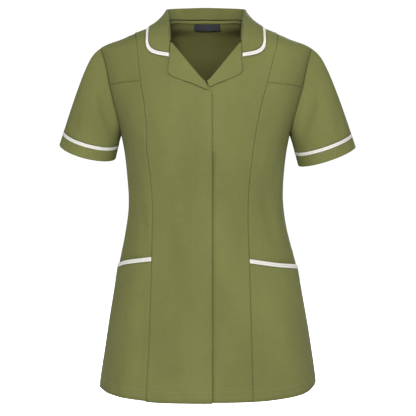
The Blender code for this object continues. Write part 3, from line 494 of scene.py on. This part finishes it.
def new_group(name, inputs, outputs):
    group = bpy.data.node_groups.new(name, "ShaderNodeTree")
    for label, kind, default in inputs:
        socket = group.interface.new_socket(label, in_out="INPUT", socket_type=kind)
        if default is not None:
            socket.default_value = default
    for label, kind in outputs:
        group.interface.new_socket(label, in_out="OUTPUT", socket_type=kind)
    return group, group.nodes.new("NodeGroupInput"), group.nodes.new("NodeGroupOutput")


def plug(tree, socket, value):
    if isinstance(value, bpy.types.NodeSocket):
        tree.links.new(value, socket)
    else:
        socket.default_value = value


def sums(tree, operation, first, second=0.0, third=None):
    node = tree.nodes.new("ShaderNodeMath")
    node.operation = operation
    plug(tree, node.inputs[0], first)
    plug(tree, node.inputs[1], second)
    if third is not None:
        plug(tree, node.inputs[2], third)
    return node.outputs[0]


def ramp(tree, value, start, end, low=0.0, high=1.0):
    """A smooth step of a value from low to high."""
    node = tree.nodes.new("ShaderNodeMapRange")
    node.interpolation_type = "SMOOTHSTEP"
    settings = {"Value": value, "From Min": start, "From Max": end, "To Min": low, "To Max": high}
    for label, setting in settings.items():
        plug(tree, node.inputs[label], setting)
    return node.outputs["Result"]


def mixed(tree, factor, first, second, blend="MIX"):
    """Mixes two colours; with blend MULTIPLY the second one tints the first where the factor is high."""
    node = tree.nodes.new("ShaderNodeMix")
    node.data_type = "RGBA"
    node.blend_type = blend
    plug(tree, node.inputs["Factor"], factor)
    for label, color in (("A", first), ("B", second)):
        plug(tree, node.inputs[label], (*color, 1) if isinstance(color, tuple) else color)
    return node.outputs["Result"]


def attribute_value(tree, name):
    node = tree.nodes.new("ShaderNodeAttribute")
    node.attribute_name = name
    return node.outputs["Fac"]


def stretched_noise(tree, vector, scale):
    """Noise of the map, stretched by a scale for each direction."""
    mapping = tree.nodes.new("ShaderNodeMapping")
    plug(tree, mapping.inputs["Vector"], vector)
    mapping.inputs["Scale"].default_value = scale
    noise = tree.nodes.new("ShaderNodeTexNoise")
    noise.inputs["Scale"].default_value = 1.0
    noise.inputs["Detail"].default_value = 2.0
    tree.links.new(mapping.outputs["Vector"], noise.inputs["Vector"])
    return noise.outputs["Fac"]


# %% [markdown]
# The weave is two sets of threads. A sine across and a sine along make the threads, and their product
# makes them pass over and under. Long thin noise in both directions makes the slubs, thicker and
# thinner stretches of thread, which show as faint streaks even from far away. Broad soft patches keep
# the tone from being the same all over.

# %% Weave group
# How often the noise repeats in a metre, across and up
UPRIGHT_SLUBS = (900.0, 45.0, 1.0)
LEVEL_SLUBS = (40.0, 800.0, 1.0)
BROAD_PATCHES = (9.0, 5.0, 1.0)

weave, weave_in, weave_out = new_group(
    "weave",
    (("Map", VECTOR, None), ("Threads per metre", VALUE, 2200.0), ("Slub", VALUE, 0.5)),
    (("Height", VALUE), ("Tone", VALUE)),
)
split = weave.nodes.new("ShaderNodeSeparateXYZ")
weave.links.new(weave_in.outputs["Map"], split.inputs[0])
turns = sums(weave, "MULTIPLY", weave_in.outputs["Threads per metre"], 2 * math.pi)
over = sums(weave, "SINE", sums(weave, "MULTIPLY", split.outputs["X"], turns))
under = sums(weave, "SINE", sums(weave, "MULTIPLY", split.outputs["Y"], turns))
threads = sums(weave, "MULTIPLY_ADD", sums(weave, "MULTIPLY", over, under), 0.5, 0.5)
upright = stretched_noise(weave, weave_in.outputs["Map"], UPRIGHT_SLUBS)
level = stretched_noise(weave, weave_in.outputs["Map"], LEVEL_SLUBS)
slubs = sums(weave, "MULTIPLY_ADD", sums(weave, "ADD", upright, level), 1.0, -1.0)
slubs = sums(weave, "MULTIPLY", slubs, weave_in.outputs["Slub"])
broad = stretched_noise(weave, weave_in.outputs["Map"], BROAD_PATCHES)
patches = sums(weave, "MULTIPLY_ADD", broad, 1.3, -0.15)
weave.links.new(sums(weave, "ADD", threads, slubs), weave_out.inputs["Height"])
weave.links.new(sums(weave, "ADD", slubs, patches), weave_out.inputs["Tone"])

# %% [markdown]
# At a seam the cloth rolls down into a narrow groove. Beside it lies the band of the turned edges,
# a little raised, which ends in a soft step. The groove is also darker, because little light gets in.

# %% Seam group
seam, seam_in, seam_out = new_group(
    "seam",
    (("Distance", VALUE, 50.0), ("Groove", VALUE, 1.3), ("Band", VALUE, 9.0)),
    (("Height", VALUE), ("Groove mask", VALUE)),
)
reach = seam_in.outputs["Distance"]
roll = ramp(seam, reach, 0.0, sums(seam, "MULTIPLY", seam_in.outputs["Groove"], 1.8))
band_end = sums(seam, "MULTIPLY", seam_in.outputs["Band"], 1.25)
step = ramp(seam, reach, seam_in.outputs["Band"], band_end, 1.0, 0.0)
seam.links.new(sums(seam, "MULTIPLY_ADD", step, 0.35, roll), seam_out.inputs["Height"])
dark = ramp(seam, reach, 0.0, seam_in.outputs["Groove"], 1.0, 0.0)
seam.links.new(dark, seam_out.inputs["Groove mask"])


# %% [markdown]
# Each cloth gets two tones that the weave mixes, a groove at its edges and painted shade where a loose
# edge of another piece lies over it. The heights of the threads and seams drive one bump.

# %% Cloth materials
# A band this wide is wider than the narrow pieces, so none shows on them
NO_BAND = 40.0
# Colour of the painted shade under another piece's loose edge
UNDER_EDGE_SHADE_TINT = (0.55, 0.54, 0.5)


def woven_material(
    name, color, darker, slub, thread_height, seam_height, roughness, sheen, groove, band=NO_BAND, dim=0.5
):
    """Woven cloth: heights in metres, groove and band in millimetres, dim is how light a groove stays."""
    material = bpy.data.materials.new(name)
    material.use_nodes = True
    tree = material.node_tree
    shader = tree.nodes["Principled BSDF"]
    shader.inputs["Sheen Weight"].default_value = sheen
    shader.inputs["Sheen Roughness"].default_value = 0.5
    shader.inputs["Specular IOR Level"].default_value = 0.12
    grain = tree.nodes.new("ShaderNodeUVMap")
    grain.uv_map = "grain"
    cloth = tree.nodes.new("ShaderNodeGroup")
    cloth.node_tree = weave
    tree.links.new(grain.outputs["UV"], cloth.inputs["Map"])
    cloth.inputs["Slub"].default_value = slub
    edge = tree.nodes.new("ShaderNodeGroup")
    edge.node_tree = seam
    tree.links.new(attribute_value(tree, "edge"), edge.inputs["Distance"])
    edge.inputs["Groove"].default_value = groove
    edge.inputs["Band"].default_value = band
    tone = mixed(tree, cloth.outputs["Tone"], darker, color)
    tone = mixed(tree, edge.outputs["Groove mask"], tone, (dim, dim, dim), "MULTIPLY")
    # Painted shade where another piece's loose edge lies over the cloth
    tone = mixed(tree, attribute_value(tree, "under_edge_shade"), tone, UNDER_EDGE_SHADE_TINT, "MULTIPLY")
    tree.links.new(tone, shader.inputs["Base Color"])
    rough = ramp(tree, cloth.outputs["Tone"], 0.2, 0.8, roughness + 0.04, roughness - 0.04)
    tree.links.new(rough, shader.inputs["Roughness"])
    height = sums(tree, "MULTIPLY", cloth.outputs["Height"], thread_height)
    height = sums(tree, "MULTIPLY_ADD", edge.outputs["Height"], seam_height, height)
    bump = tree.nodes.new("ShaderNodeBump")
    bump.inputs["Distance"].default_value = 1.0
    tree.links.new(height, bump.inputs["Height"])
    tree.links.new(bump.outputs["Normal"], shader.inputs["Normal"])
    return material


def tint(material, mask, color):
    """Multiplies a finished material's colour by another one where a mask is high."""
    tree = material.node_tree
    base = tree.nodes["Principled BSDF"].inputs["Base Color"]
    tree.links.new(mixed(tree, mask, base.links[0].from_socket, color, "MULTIPLY"), base)


olive = woven_material(
    "olive_cloth", color=(0.131, 0.137, 0.043), darker=(0.093, 0.098, 0.031), slub=0.65,
    thread_height=0.00006, seam_height=0.00014, roughness=0.86, sheen=0.02, groove=0.6, band=9.0, dim=0.9,
)
# The inner side is a darker copy of the olive cloth: painted shade, since little light gets inside the
# garment
olive_inside_shaded = woven_material(
    "olive_cloth_inside_shaded", color=(0.094, 0.096, 0.028), darker=(0.070, 0.072, 0.021), slub=0.55,
    thread_height=0.00006, seam_height=0.0002, roughness=0.88, sheen=0.03, groove=0.6, band=9.0,
)
white_piping = woven_material(
    "white_piping", color=(0.560, 0.553, 0.520), darker=(0.475, 0.468, 0.436), slub=0.5,
    thread_height=0.0001, seam_height=0.0003, roughness=0.8, sheen=0.05, groove=0.5, dim=0.8,
)
tape_cloth = woven_material(
    "tape_cloth", color=(0.150, 0.160, 0.050), darker=(0.118, 0.126, 0.038), slub=0.4,
    thread_height=0.00008, seam_height=0.0002, roughness=0.82, sheen=0.05, groove=0.4,
)
label_cloth = woven_material(
    "label_cloth", color=(0.020, 0.021, 0.029), darker=(0.012, 0.013, 0.019), slub=0.5,
    thread_height=0.00008, seam_height=0.0002, roughness=0.55, sheen=0.1, groove=0.4,
)
print("cloth materials:", olive.name, white_piping.name, tape_cloth.name, label_cloth.name)

# %% [markdown]
# Inside, the cloth is seen through the neck. Light reaches it just below the collar and fades further
# down, where both fronts close the view. So the inner finish gets painted shade that deepens below the
# neck.

# %% Paint shade into the inside with depth
DARK_BELOW, LIGHT_ABOVE = -0.135, -0.03
# How dark the painted shade gets deep inside
INSIDE_PAINTED_SHADE_TINT = (0.4, 0.39, 0.36)

tree = olive_inside_shaded.node_tree
place = tree.nodes.new("ShaderNodeTexCoord")
height = tree.nodes.new("ShaderNodeSeparateXYZ")
tree.links.new(place.outputs["Object"], height.inputs[0])
# Painted shade: the inner cloth gets darker further below the neck
tint(olive_inside_shaded, ramp(tree, height.outputs["Z"], DARK_BELOW, LIGHT_ABOVE, 1.0, 0.0), INSIDE_PAINTED_SHADE_TINT)

# %% [markdown]
# The piping is cut on the bias, so its threads run at a slant to its edges, and they are thick enough to
# see. Along its middle runs the line of sewing that pulls it down, and it gets painted shade there, a
# little darker than the rest. The distance to that line is an attribute of its own.

# %% Slanted threads and the painted shade of the piping's sewn line
PIPING_THREADS = 800.0
SEWN_LINE, SEWN_LINE_END = 0.1, 0.75
SEWN_LINE_SHADE_TINT = (0.62, 0.61, 0.57)

tree = white_piping.node_tree
groups = {node.node_tree.name: node for node in tree.nodes if node.type == "GROUP"}
slant = tree.nodes.new("ShaderNodeMapping")
slant.inputs["Rotation"].default_value = (0, 0, math.radians(45))
map_node = next(node for node in tree.nodes if node.type == "UVMAP")
tree.links.new(map_node.outputs["UV"], slant.inputs["Vector"])
tree.links.new(slant.outputs["Vector"], groups["weave"].inputs["Map"])
groups["weave"].inputs["Threads per metre"].default_value = PIPING_THREADS
# Painted shade along the sewn line in the middle of the piping
sewn = ramp(tree, attribute_value(tree, "middle"), SEWN_LINE, SEWN_LINE_END, 1.0, 0.0)
tint(white_piping, sewn, SEWN_LINE_SHADE_TINT)

# %% [markdown]
# ## Dressing the panels
#
# Each panel's sheet is smoothed, creased and mapped, and its edge distance is stored. A Solidify
# modifier gives it its thickness, inwards from the outer face. The piece then stands for its solid.

# %% Dress one piece
CLOTH_WALL = 1.1 * MM
dressed = {}


def finish_cloth(sheet, node, material=olive, thickness=CLOTH_WALL):
    """Gives a sheet its wall and finish and lets it stand for its solid."""
    mesh = sheet.data
    mesh.materials.clear()
    mesh.materials.append(material)
    # The inner faces of olive panels take the darker copy, which is painted shade
    mesh.materials.append(olive_inside_shaded if material is olive else material)
    mesh.shade_smooth()
    wall = sheet.modifiers.new("wall", "SOLIDIFY")
    wall.material_offset = 1
    wall.thickness = thickness
    wall.offset = -1.0
    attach(sheet, "root")
    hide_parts(node)
    dressed[node] = sheet


# %% [markdown]
# ### Body
#
# Two fronts, of which the wearer's right one lies on top, two yokes, two side fronts, the pockets that
# lie on them, and the back. The map is wrapped round the body's upright axis, with its cut behind for
# the front panels and in front for the back.
#
# A front panel's corner can be pushed over the shoulder seam when it is smoothed, and its edge can fall
# short of the seam. Both are put right. The solid of the back lacks the corner where the right sleeve
# meets the shoulder seam, so the corner is added.

# %% The body's panels
FRONT_PANELS = (
    "front_overlap",
    "front_underlap",
    "front_yoke_right",
    "front_yoke_left",
    "side_front_right",
    "side_front_left",
    "pocket_right",
    "pocket_left",
)
# The shoulder seam runs beside the neck, above a height and near the plane y = 0
BESIDE_NECK = 0.112
SHOULDERS_ABOVE = -0.06
# In millimetres: the seam's half gap, and how far off an edge may lie to be brought to it
SHOULDER_SEAM, SHOULDER_SLACK = 0.1, 1.5
# The solid of the back stops 7 mm short of this place
BACK_CORNER = Vector((-0.1968, 0.0002, -0.0363))
YOKE_LEVELLING = 25.0
FRONT_EDGE_TOP = -0.1
# The front edge springs up below a height: how far in that reaches and how far out, in millimetres
FRONT_EDGE_LIFTS = ((0.0, 8.0, 0.9), (-0.3, 10.0, 0.8))


def is_front_edge(middle, direction):
    return middle.x > 0 and abs(direction.z) > 0.7 and middle.z < FRONT_EDGE_TOP


def below(lines, height):
    return [pair for pair in lines if pair[0].z < height]


def keep_to_shoulder_seam(mesh, sign):
    """Brings a panel's edge onto the shoulder seam: sign is -1 in front and 1 behind."""
    bm = bmesh.new()
    bm.from_mesh(mesh)
    for vert in bm.verts:
        if abs(vert.co.x - BODY_AXIS[0]) > BESIDE_NECK and vert.co.z > SHOULDERS_ABOVE:
            off = vert.co.y * sign / MM
            if off < SHOULDER_SEAM or (vert.is_boundary and off < SHOULDER_SLACK):
                vert.co.y = sign * SHOULDER_SEAM * MM
    bm.to_mesh(mesh)
    bm.free()


def fill_corner(mesh, corner):
    """Adds the triangle that the solid leaves out at a corner, between the two nearest edge points."""
    bm = bmesh.new()
    bm.from_mesh(mesh)
    edge = min(
        (edge for edge in bm.edges if edge.is_boundary),
        key=lambda edge: sum((vert.co - corner).length for vert in edge.verts),
    )
    loop = edge.link_loops[0]
    bm.faces.new((loop.link_loop_next.vert, loop.vert, bm.verts.new(corner)))
    bm.to_mesh(mesh)
    bm.free()


for node in FRONT_PANELS + ("back",):
    sheet = sheet_from(node)
    if node == "back":
        fill_corner(sheet.data, BACK_CORNER)
    sheet = smooth_sheet(sheet, 2)
    keep_to_shoulder_seam(sheet.data, 1 if node == "back" else -1)
    store_edge_distance(sheet.data)
    if node.startswith("front_yoke"):
        front = "front_overlap" if node.endswith("right") else "front_underlap"
        level_with(sheet.data, dressed[front].data, YOKE_LEVELLING)
    if node == "front_overlap":
        for height, reach, out in FRONT_EDGE_LIFTS:
            lift_edge(sheet.data, below(edge_lines(sheet.data, is_front_edge), height), reach, out)
    close_seams(sheet.data)
    settle_shoulders(sheet.data)
    crease_cloth(sheet)
    ahead = (0, 1, 0) if node == "back" else (0, -1, 0)
    wrap_map(sheet, BODY_AXIS, UP, ahead, BODY_RADIUS)
    finish_cloth(sheet, node)

# %% [markdown]
# ### Sleeves and cuffs
#
# A sleeve is a tube about the arm, and the cuff's band goes on below it. The map is wrapped round the
# line from the sleeve's lower end to the shoulder, with its cut on the inner side of the arm.

# %% Sleeves and cuff bands
SHOULDER_ACROSS, SHOULDER_HEIGHT = 0.176, -0.115


def lower_middle(mesh):
    """Middle of the lowest third of a mesh's points."""
    points = points_of(mesh)
    order = np.argsort(points[:, 2])
    return Vector(points[order[: len(order) // 3]].mean(axis=0))


for side, sign in (("right", -1), ("left", 1)):
    names = ("sleeve_" + side, "cuff_band_" + side)
    sheets = [smooth_sheet(sheet_from(node), 2) for node in names]
    hand = lower_middle(sheets[0].data)
    arm = Vector((sign * SHOULDER_ACROSS, 0.0, SHOULDER_HEIGHT)) - hand
    for node, sheet in zip(names, sheets):
        store_edge_distance(sheet.data)
        close_seams(sheet.data)
        settle_shoulders(sheet.data)
        crease_cloth(sheet)
        wrap_map(sheet, hand, arm, (sign, 0, 0), ARM_RADIUS)
        finish_cloth(sheet, node)

# %% [markdown]
# ### Collar and lapels
#
# The collar is one piece that stands up from the neck seam, turns over and lies on the shoulders. The
# lapels are the fronts' facings turned outwards along a slanting fold. They run out to thin tips, which
# are evened out, and their lower and outer edges spring up from the fronts.

# %% Collar and lapels
LAPELS = ("lapel_right", "lapel_left")
NECK_MIDDLE = (BODY_AXIS[0], 0.02, 0.0)
LAPEL_TIP_HEIGHT = -0.116
LAPEL_TIP_PASSES = 14
# The lapels' loose edges lie below a height or further out than this
LOOSE_BELOW, LOOSE_BEYOND = -0.115, 0.066
LAPEL_LIFT_REACH, LAPEL_LIFT = 16.0, 1.6


def is_lapel_edge(middle, direction):
    return middle.z < LOOSE_BELOW or abs(middle.x - BODY_AXIS[0]) > LOOSE_BEYOND


def even_out(mesh, height, passes):
    """Smooths the cloth and its edge below a height, where a piece runs out to a thin tip."""
    bm = bmesh.new()
    bm.from_mesh(mesh)
    smooth_points(bm, [vert for vert in bm.verts if vert.co.z < height], passes)
    bm.to_mesh(mesh)
    bm.free()


sheet = smooth_sheet(sheet_from("collar"), 2)
store_edge_distance(sheet.data)
wrap_map(sheet, NECK_MIDDLE, UP, (0, 1, 0), NECK_RADIUS, spread=True)
finish_cloth(sheet, "collar")

for node in LAPELS:
    sheet = smooth_sheet(sheet_from(node), 2)
    even_out(sheet.data, LAPEL_TIP_HEIGHT, LAPEL_TIP_PASSES)
    store_edge_distance(sheet.data)
    lift_edge(sheet.data, edge_lines(sheet.data, is_lapel_edge), LAPEL_LIFT_REACH, LAPEL_LIFT)
    wrap_map(sheet, BODY_AXIS, UP, (0, -1, 0), LAPEL_RADIUS)
    finish_cloth(sheet, node)

# %% [markdown]
# ### Piping, tape and label
#
# The piping is a folded strip of white cloth, sewn down along its middle. Its sheet is fine enough for
# a real cross section: rounded edges and a shallow groove where the sewing pulls it in.

# %% Piping strips
PIPING_WALL = 1.4 * MM
# How deep and how wide, in millimetres, the edges are rolled down and the middle is sunk
ROLL_DEPTH, ROLL_WIDTH = 0.7, 1.1
SINK_DEPTH, SINK_WIDTH = 0.25, 0.8


def round_piping(sheet, strip_width):
    """Rolls the strip's edges down and sinks its middle a little."""
    mesh = sheet.data
    points = points_of(mesh)
    off = distance_to(points, edge_lines(mesh))
    store(mesh, "edge", off)
    middle = strip_width / 2
    store(mesh, "middle", np.abs(off - middle))
    rolled = -ROLL_DEPTH * np.clip(1 - off / ROLL_WIDTH, 0, 1) ** 2
    sunk = -SINK_DEPTH * np.clip(1 - np.abs(off - middle) / SINK_WIDTH, 0, 1) ** 2
    set_points(mesh, points + normals_of(mesh) * ((rolled + sunk) * MM)[:, None])


for node, strip_width in (
    ("collar_piping", 7.4),
    ("pocket_piping_right", 8.0),
    ("pocket_piping_left", 8.0),
    ("sleeve_piping_right", 6.6),
    ("sleeve_piping_left", 6.6),
):
    sheet = smooth_sheet(sheet_from(node), 3)
    round_piping(sheet, strip_width)
    crease_cloth(sheet)
    wrap_map(sheet, BODY_AXIS, UP, (0, -1, 0), BODY_RADIUS)
    finish_cloth(sheet, node, white_piping, PIPING_WALL)

# %% Neck tape and label
TAPE_WALL = 0.8 * MM
for node, material, slot in (
    ("neck_tape", tape_cloth, "neck_tape"),
    ("neck_label", label_cloth, "label"),
):
    sheet = smooth_sheet(sheet_from(node, side=1), 3)
    store_edge_distance(sheet.data)
    wrap_map(sheet, BODY_AXIS, UP, (0, 1, 0), NECK_RADIUS)
    finish_cloth(sheet, node, material, TAPE_WALL)
print("dressed pieces:", len(dressed))

# %% [markdown]
# ### Under the loose edges
#
# Little light gets in close under an edge that lies loose on the cloth: the front edge, the lapels and
# the collar. So the cloth below gets painted shade there, and how much is an attribute of the panel below.

# %% Paint shade on the cloth under loose edges
# The front edge stands off the cloth below this height
LOOSE_FRONT_TOP = -0.25


def shade_beside(mesh, edges):
    """Stores how much painted shade edges, given as lines, a reach in millimetres and an amount, throw on
    the mesh.
    """
    points = points_of(mesh)
    under_edge_shade = np.zeros(len(points))
    for lines, reach, amount in edges:
        share = np.clip(1 - distance_to(points, lines) / reach, 0, 1)
        under_edge_shade = np.maximum(under_edge_shade, amount * share**1.5)
    store(mesh, "under_edge_shade", under_edge_shade)


front_edge = edge_lines(dressed["front_overlap"].data, is_front_edge)
loose_edges = [(edge_lines(dressed["collar_piping"].data), 6.0, 0.55)]
loose_edges += [(edge_lines(dressed[node].data, is_lapel_edge), 6.0, 0.6) for node in LAPELS]
shade_beside(dressed["front_overlap"].data, loose_edges)
loose_edges += [(front_edge, 3.5, 0.6), (below(front_edge, LOOSE_FRONT_TOP), 6.5, 1.7)]
shade_beside(dressed["front_underlap"].data, loose_edges)
print("loose edges over the underlap:", len(loose_edges))

# %% [markdown]
# ## Stitches
#
# The hem is turned up and sewn 20 mm above its edge all round. The flap over the hidden fastening is held
# by a line of stitches 36.5 mm from the front edge. The fronts are sewn again 2 mm beside the princess
# seams, and the tape inside the neck along both of its edges. Each line lies where the distance to an
# edge has one value, so it is found on the mesh by following that value from face to face.


# %% Follow one distance over a sheet
def level_lines(mesh, values, level, chosen=lambda place: True):
    """Lines of (place, normal) where the values at the mesh's points pass a level."""
    points, normals = points_of(mesh), normals_of(mesh)
    crossings, links = {}, {}
    for face in mesh.polygons:
        corners = list(face.vertices)
        found = []
        for low, high in (sorted(pair) for pair in zip(corners, corners[1:] + corners[:1])):
            if (values[low] < level) != (values[high] < level):
                share = (level - values[low]) / (values[high] - values[low])
                place = points[low] + (points[high] - points[low]) * share
                if chosen(place):
                    normal = normals[low] + (normals[high] - normals[low]) * share
                    crossings[low, high] = (place, normal)
                    found.append((low, high))
        if len(found) == 2:
            links.setdefault(found[0], []).append(found[1])
            links.setdefault(found[1], []).append(found[0])
    lines, waiting = [], dict.fromkeys(links)
    while waiting:
        key = next((key for key in waiting if len(links[key]) == 1), next(iter(waiting)))
        line = []
        while key is not None:
            del waiting[key]
            line.append(crossings[key])
            key = next((other for other in links[key] if other in waiting), None)
        lines.append(line)
    return [line for line in lines if len(line) > 3]


# %% [markdown]
# One stitch is a tiny ball, stretched along the line and pressed flat. Twenty faces are enough for it.
# The stitches of a piece are joined in one mesh, which moves with the cloth.

# %% Sew a row of stitches
STITCH = 2.6 * MM
STITCH_PITCH = 3.2 * MM
THREAD_WIDTH = 0.55 * MM
THREAD_HEIGHT = 0.4 * MM
# How far a stitch stands off the cloth, as a share of its height
THREAD_LIFT = 0.15
THREAD_TWIST = (900.0, 900.0, 900.0)


def thread_material(name, color):
    material = bpy.data.materials.new(name)
    material.use_nodes = True
    tree = material.node_tree
    shader = tree.nodes["Principled BSDF"]
    shader.inputs["Sheen Weight"].default_value = 0.2
    place = tree.nodes.new("ShaderNodeTexCoord")
    twist = stretched_noise(tree, place.outputs["Object"], THREAD_TWIST)
    rough = ramp(tree, twist, 0.3, 0.7, 0.5, 0.7)
    tree.links.new(rough, shader.inputs["Roughness"])
    darker = tuple(0.8 * part for part in color)
    tree.links.new(mixed(tree, twist, darker, color), shader.inputs["Base Color"])
    return material


olive_thread = thread_material("olive_thread", (0.150, 0.158, 0.052))


def sew(name, lines, material):
    bm = bmesh.new()
    count = 0
    for line in lines:
        places = np.array([place for place, _ in line])
        normals = np.array([normal for _, normal in line])
        steps = np.linalg.norm(np.diff(places, axis=0), axis=1)
        along = np.concatenate(((0.0,), np.cumsum(steps)))

        def at(distance, table):
            return Vector([float(np.interp(distance, along, table[:, k])) for k in range(3)])

        for distance in np.arange(STITCH_PITCH / 2, along[-1] - STITCH_PITCH / 2, STITCH_PITCH):
            up = at(distance, normals).normalized()
            ahead = at(distance + STITCH / 2, places) - at(distance - STITCH / 2, places)
            ahead = (ahead - up * ahead.dot(up)).normalized()
            turn = Matrix((ahead, up.cross(ahead), up)).transposed().to_4x4()
            place = Matrix.Translation(at(distance, places) + up * THREAD_HEIGHT * THREAD_LIFT)
            size = Matrix.Diagonal((STITCH / 2, THREAD_WIDTH / 2, THREAD_HEIGHT / 2, 1.0))
            bmesh.ops.create_icosphere(bm, subdivisions=1, radius=1.0, matrix=place @ turn @ size)
            count += 1
    mesh = bpy.data.meshes.new(name)
    bm.to_mesh(mesh)
    bm.free()
    mesh.shade_smooth()
    mesh.materials.append(material)
    stitches = bpy.data.objects.new(name, mesh)
    bpy.context.scene.collection.objects.link(stitches)
    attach(stitches, "root")
    print(f"{name}: {count} stitches")


# %% Sew hems, fly, princess seams and tape
HEM_HEIGHT = -0.6
HEM_STITCHES = 20.0
FLY_STITCHES = 36.5
FLY_TOP = -0.127
TOPSTITCH = 2.2
TAPE_STITCHES = 0.9


def is_hem(middle, direction):
    return middle.z < HEM_HEIGHT and abs(direction.z) < 0.7


def is_princess(middle, direction):
    return abs(middle.x) > 0.06 and abs(direction.z) > 0.5


for node in ("front_overlap", "front_underlap", "pocket_right", "pocket_left", "back"):
    mesh = dressed[node].data
    off_hem = distance_to(points_of(mesh), edge_lines(mesh, is_hem))
    lines = level_lines(mesh, off_hem, HEM_STITCHES)
    sew(node + "_hem_stitches", lines, olive_thread)

mesh = dressed["front_overlap"].data
off_edge = distance_to(points_of(mesh), edge_lines(mesh, is_front_edge))
fly = level_lines(mesh, off_edge, FLY_STITCHES, lambda place: place[2] < FLY_TOP)
sew("fly_stitches", fly, olive_thread)
for node in ("front_overlap", "front_underlap"):
    mesh = dressed[node].data
    off_seam = distance_to(points_of(mesh), edge_lines(mesh, is_princess))
    lines = level_lines(mesh, off_seam, TOPSTITCH)
    sew(node + "_topstitches", lines, olive_thread)
mesh = dressed["neck_tape"].data
off_edge = distance_to(points_of(mesh), edge_lines(mesh))
sew("neck_tape_stitches", level_lines(mesh, off_edge, TAPE_STITCHES), olive_thread)

# %% [markdown]
# ## The studio
#
# A pale floor well below the hem and white surroundings that light the cloth evenly. A soft light from
# above on the left makes the front brighter than the sides and draws the edges with fine shadows. A
# weak one on the right keeps these shadows open, and a third lights the back. Only the camera sees the
# floor glow, so that it runs into the white surroundings without lighting the tunic from below.

# %% Floor
FLOOR_HEIGHT = -0.95
floor_mesh = bpy.data.meshes.new("floor")
bm = bmesh.new()
bmesh.ops.create_grid(bm, x_segments=1, y_segments=1, size=8.0)
bmesh.ops.translate(bm, vec=(0, 0, FLOOR_HEIGHT), verts=bm.verts)
bm.to_mesh(floor_mesh)
bm.free()
floor = bpy.data.objects.new("floor", floor_mesh)
bpy.context.scene.collection.objects.link(floor)
floor_finish = bpy.data.materials.new("pale_floor")
floor_finish.use_nodes = True
floor_shader = floor_finish.node_tree.nodes["Principled BSDF"]
floor_shader.inputs["Base Color"].default_value = (0.95, 0.95, 0.95, 1)
floor_shader.inputs["Roughness"].default_value = 0.9
floor_shader.inputs["Emission Color"].default_value = (1, 1, 1, 1)
seen = floor_finish.node_tree.nodes.new("ShaderNodeLightPath")
floor_finish.node_tree.links.new(seen.outputs["Is Camera Ray"], floor_shader.inputs["Emission Strength"])
floor_mesh.materials.append(floor_finish)

# %% Surroundings
# How bright they are for the cloth and for the camera
LIGHT_ON_CLOTH, SEEN_BRIGHTNESS = 0.5, 1.05
world = bpy.data.worlds.new("studio")
world.use_nodes = True
sky = world.node_tree
background = sky.nodes["Background"]
light_path = sky.nodes.new("ShaderNodeLightPath")
brightness = sky.nodes.new("ShaderNodeMapRange")
brightness.inputs["To Min"].default_value = LIGHT_ON_CLOTH
brightness.inputs["To Max"].default_value = SEEN_BRIGHTNESS
sky.links.new(light_path.outputs["Is Camera Ray"], brightness.inputs["Value"])
sky.links.new(brightness.outputs["Result"], background.inputs["Strength"])
background.inputs["Color"].default_value = (1, 1, 1, 1)
bpy.context.scene.world = world


# %% Lamps
def soft_lamp(name, place, target, size, power):
    data = bpy.data.lights.new(name, "AREA")
    data.shape = "SQUARE"
    data.size = size
    data.energy = power
    lamp = bpy.data.objects.new(name, data)
    lamp.location = place
    lamp.rotation_euler = (Vector(target) - Vector(place)).to_track_quat("-Z", "Y").to_euler()
    bpy.context.scene.collection.objects.link(lamp)


soft_lamp("front_light", (-0.5, -2.9, 1.2), (0, 0, -0.3), 0.6, 94.0)
soft_lamp("fill_light", (1.4, -2.7, 0.2), (0, 0, -0.35), 1.6, 28.0)
soft_lamp("back_light", (0.7, 2.8, 0.9), (0, 0, -0.35), 1.4, 80.0)
bpy.context.scene.view_settings.view_transform = "Standard"
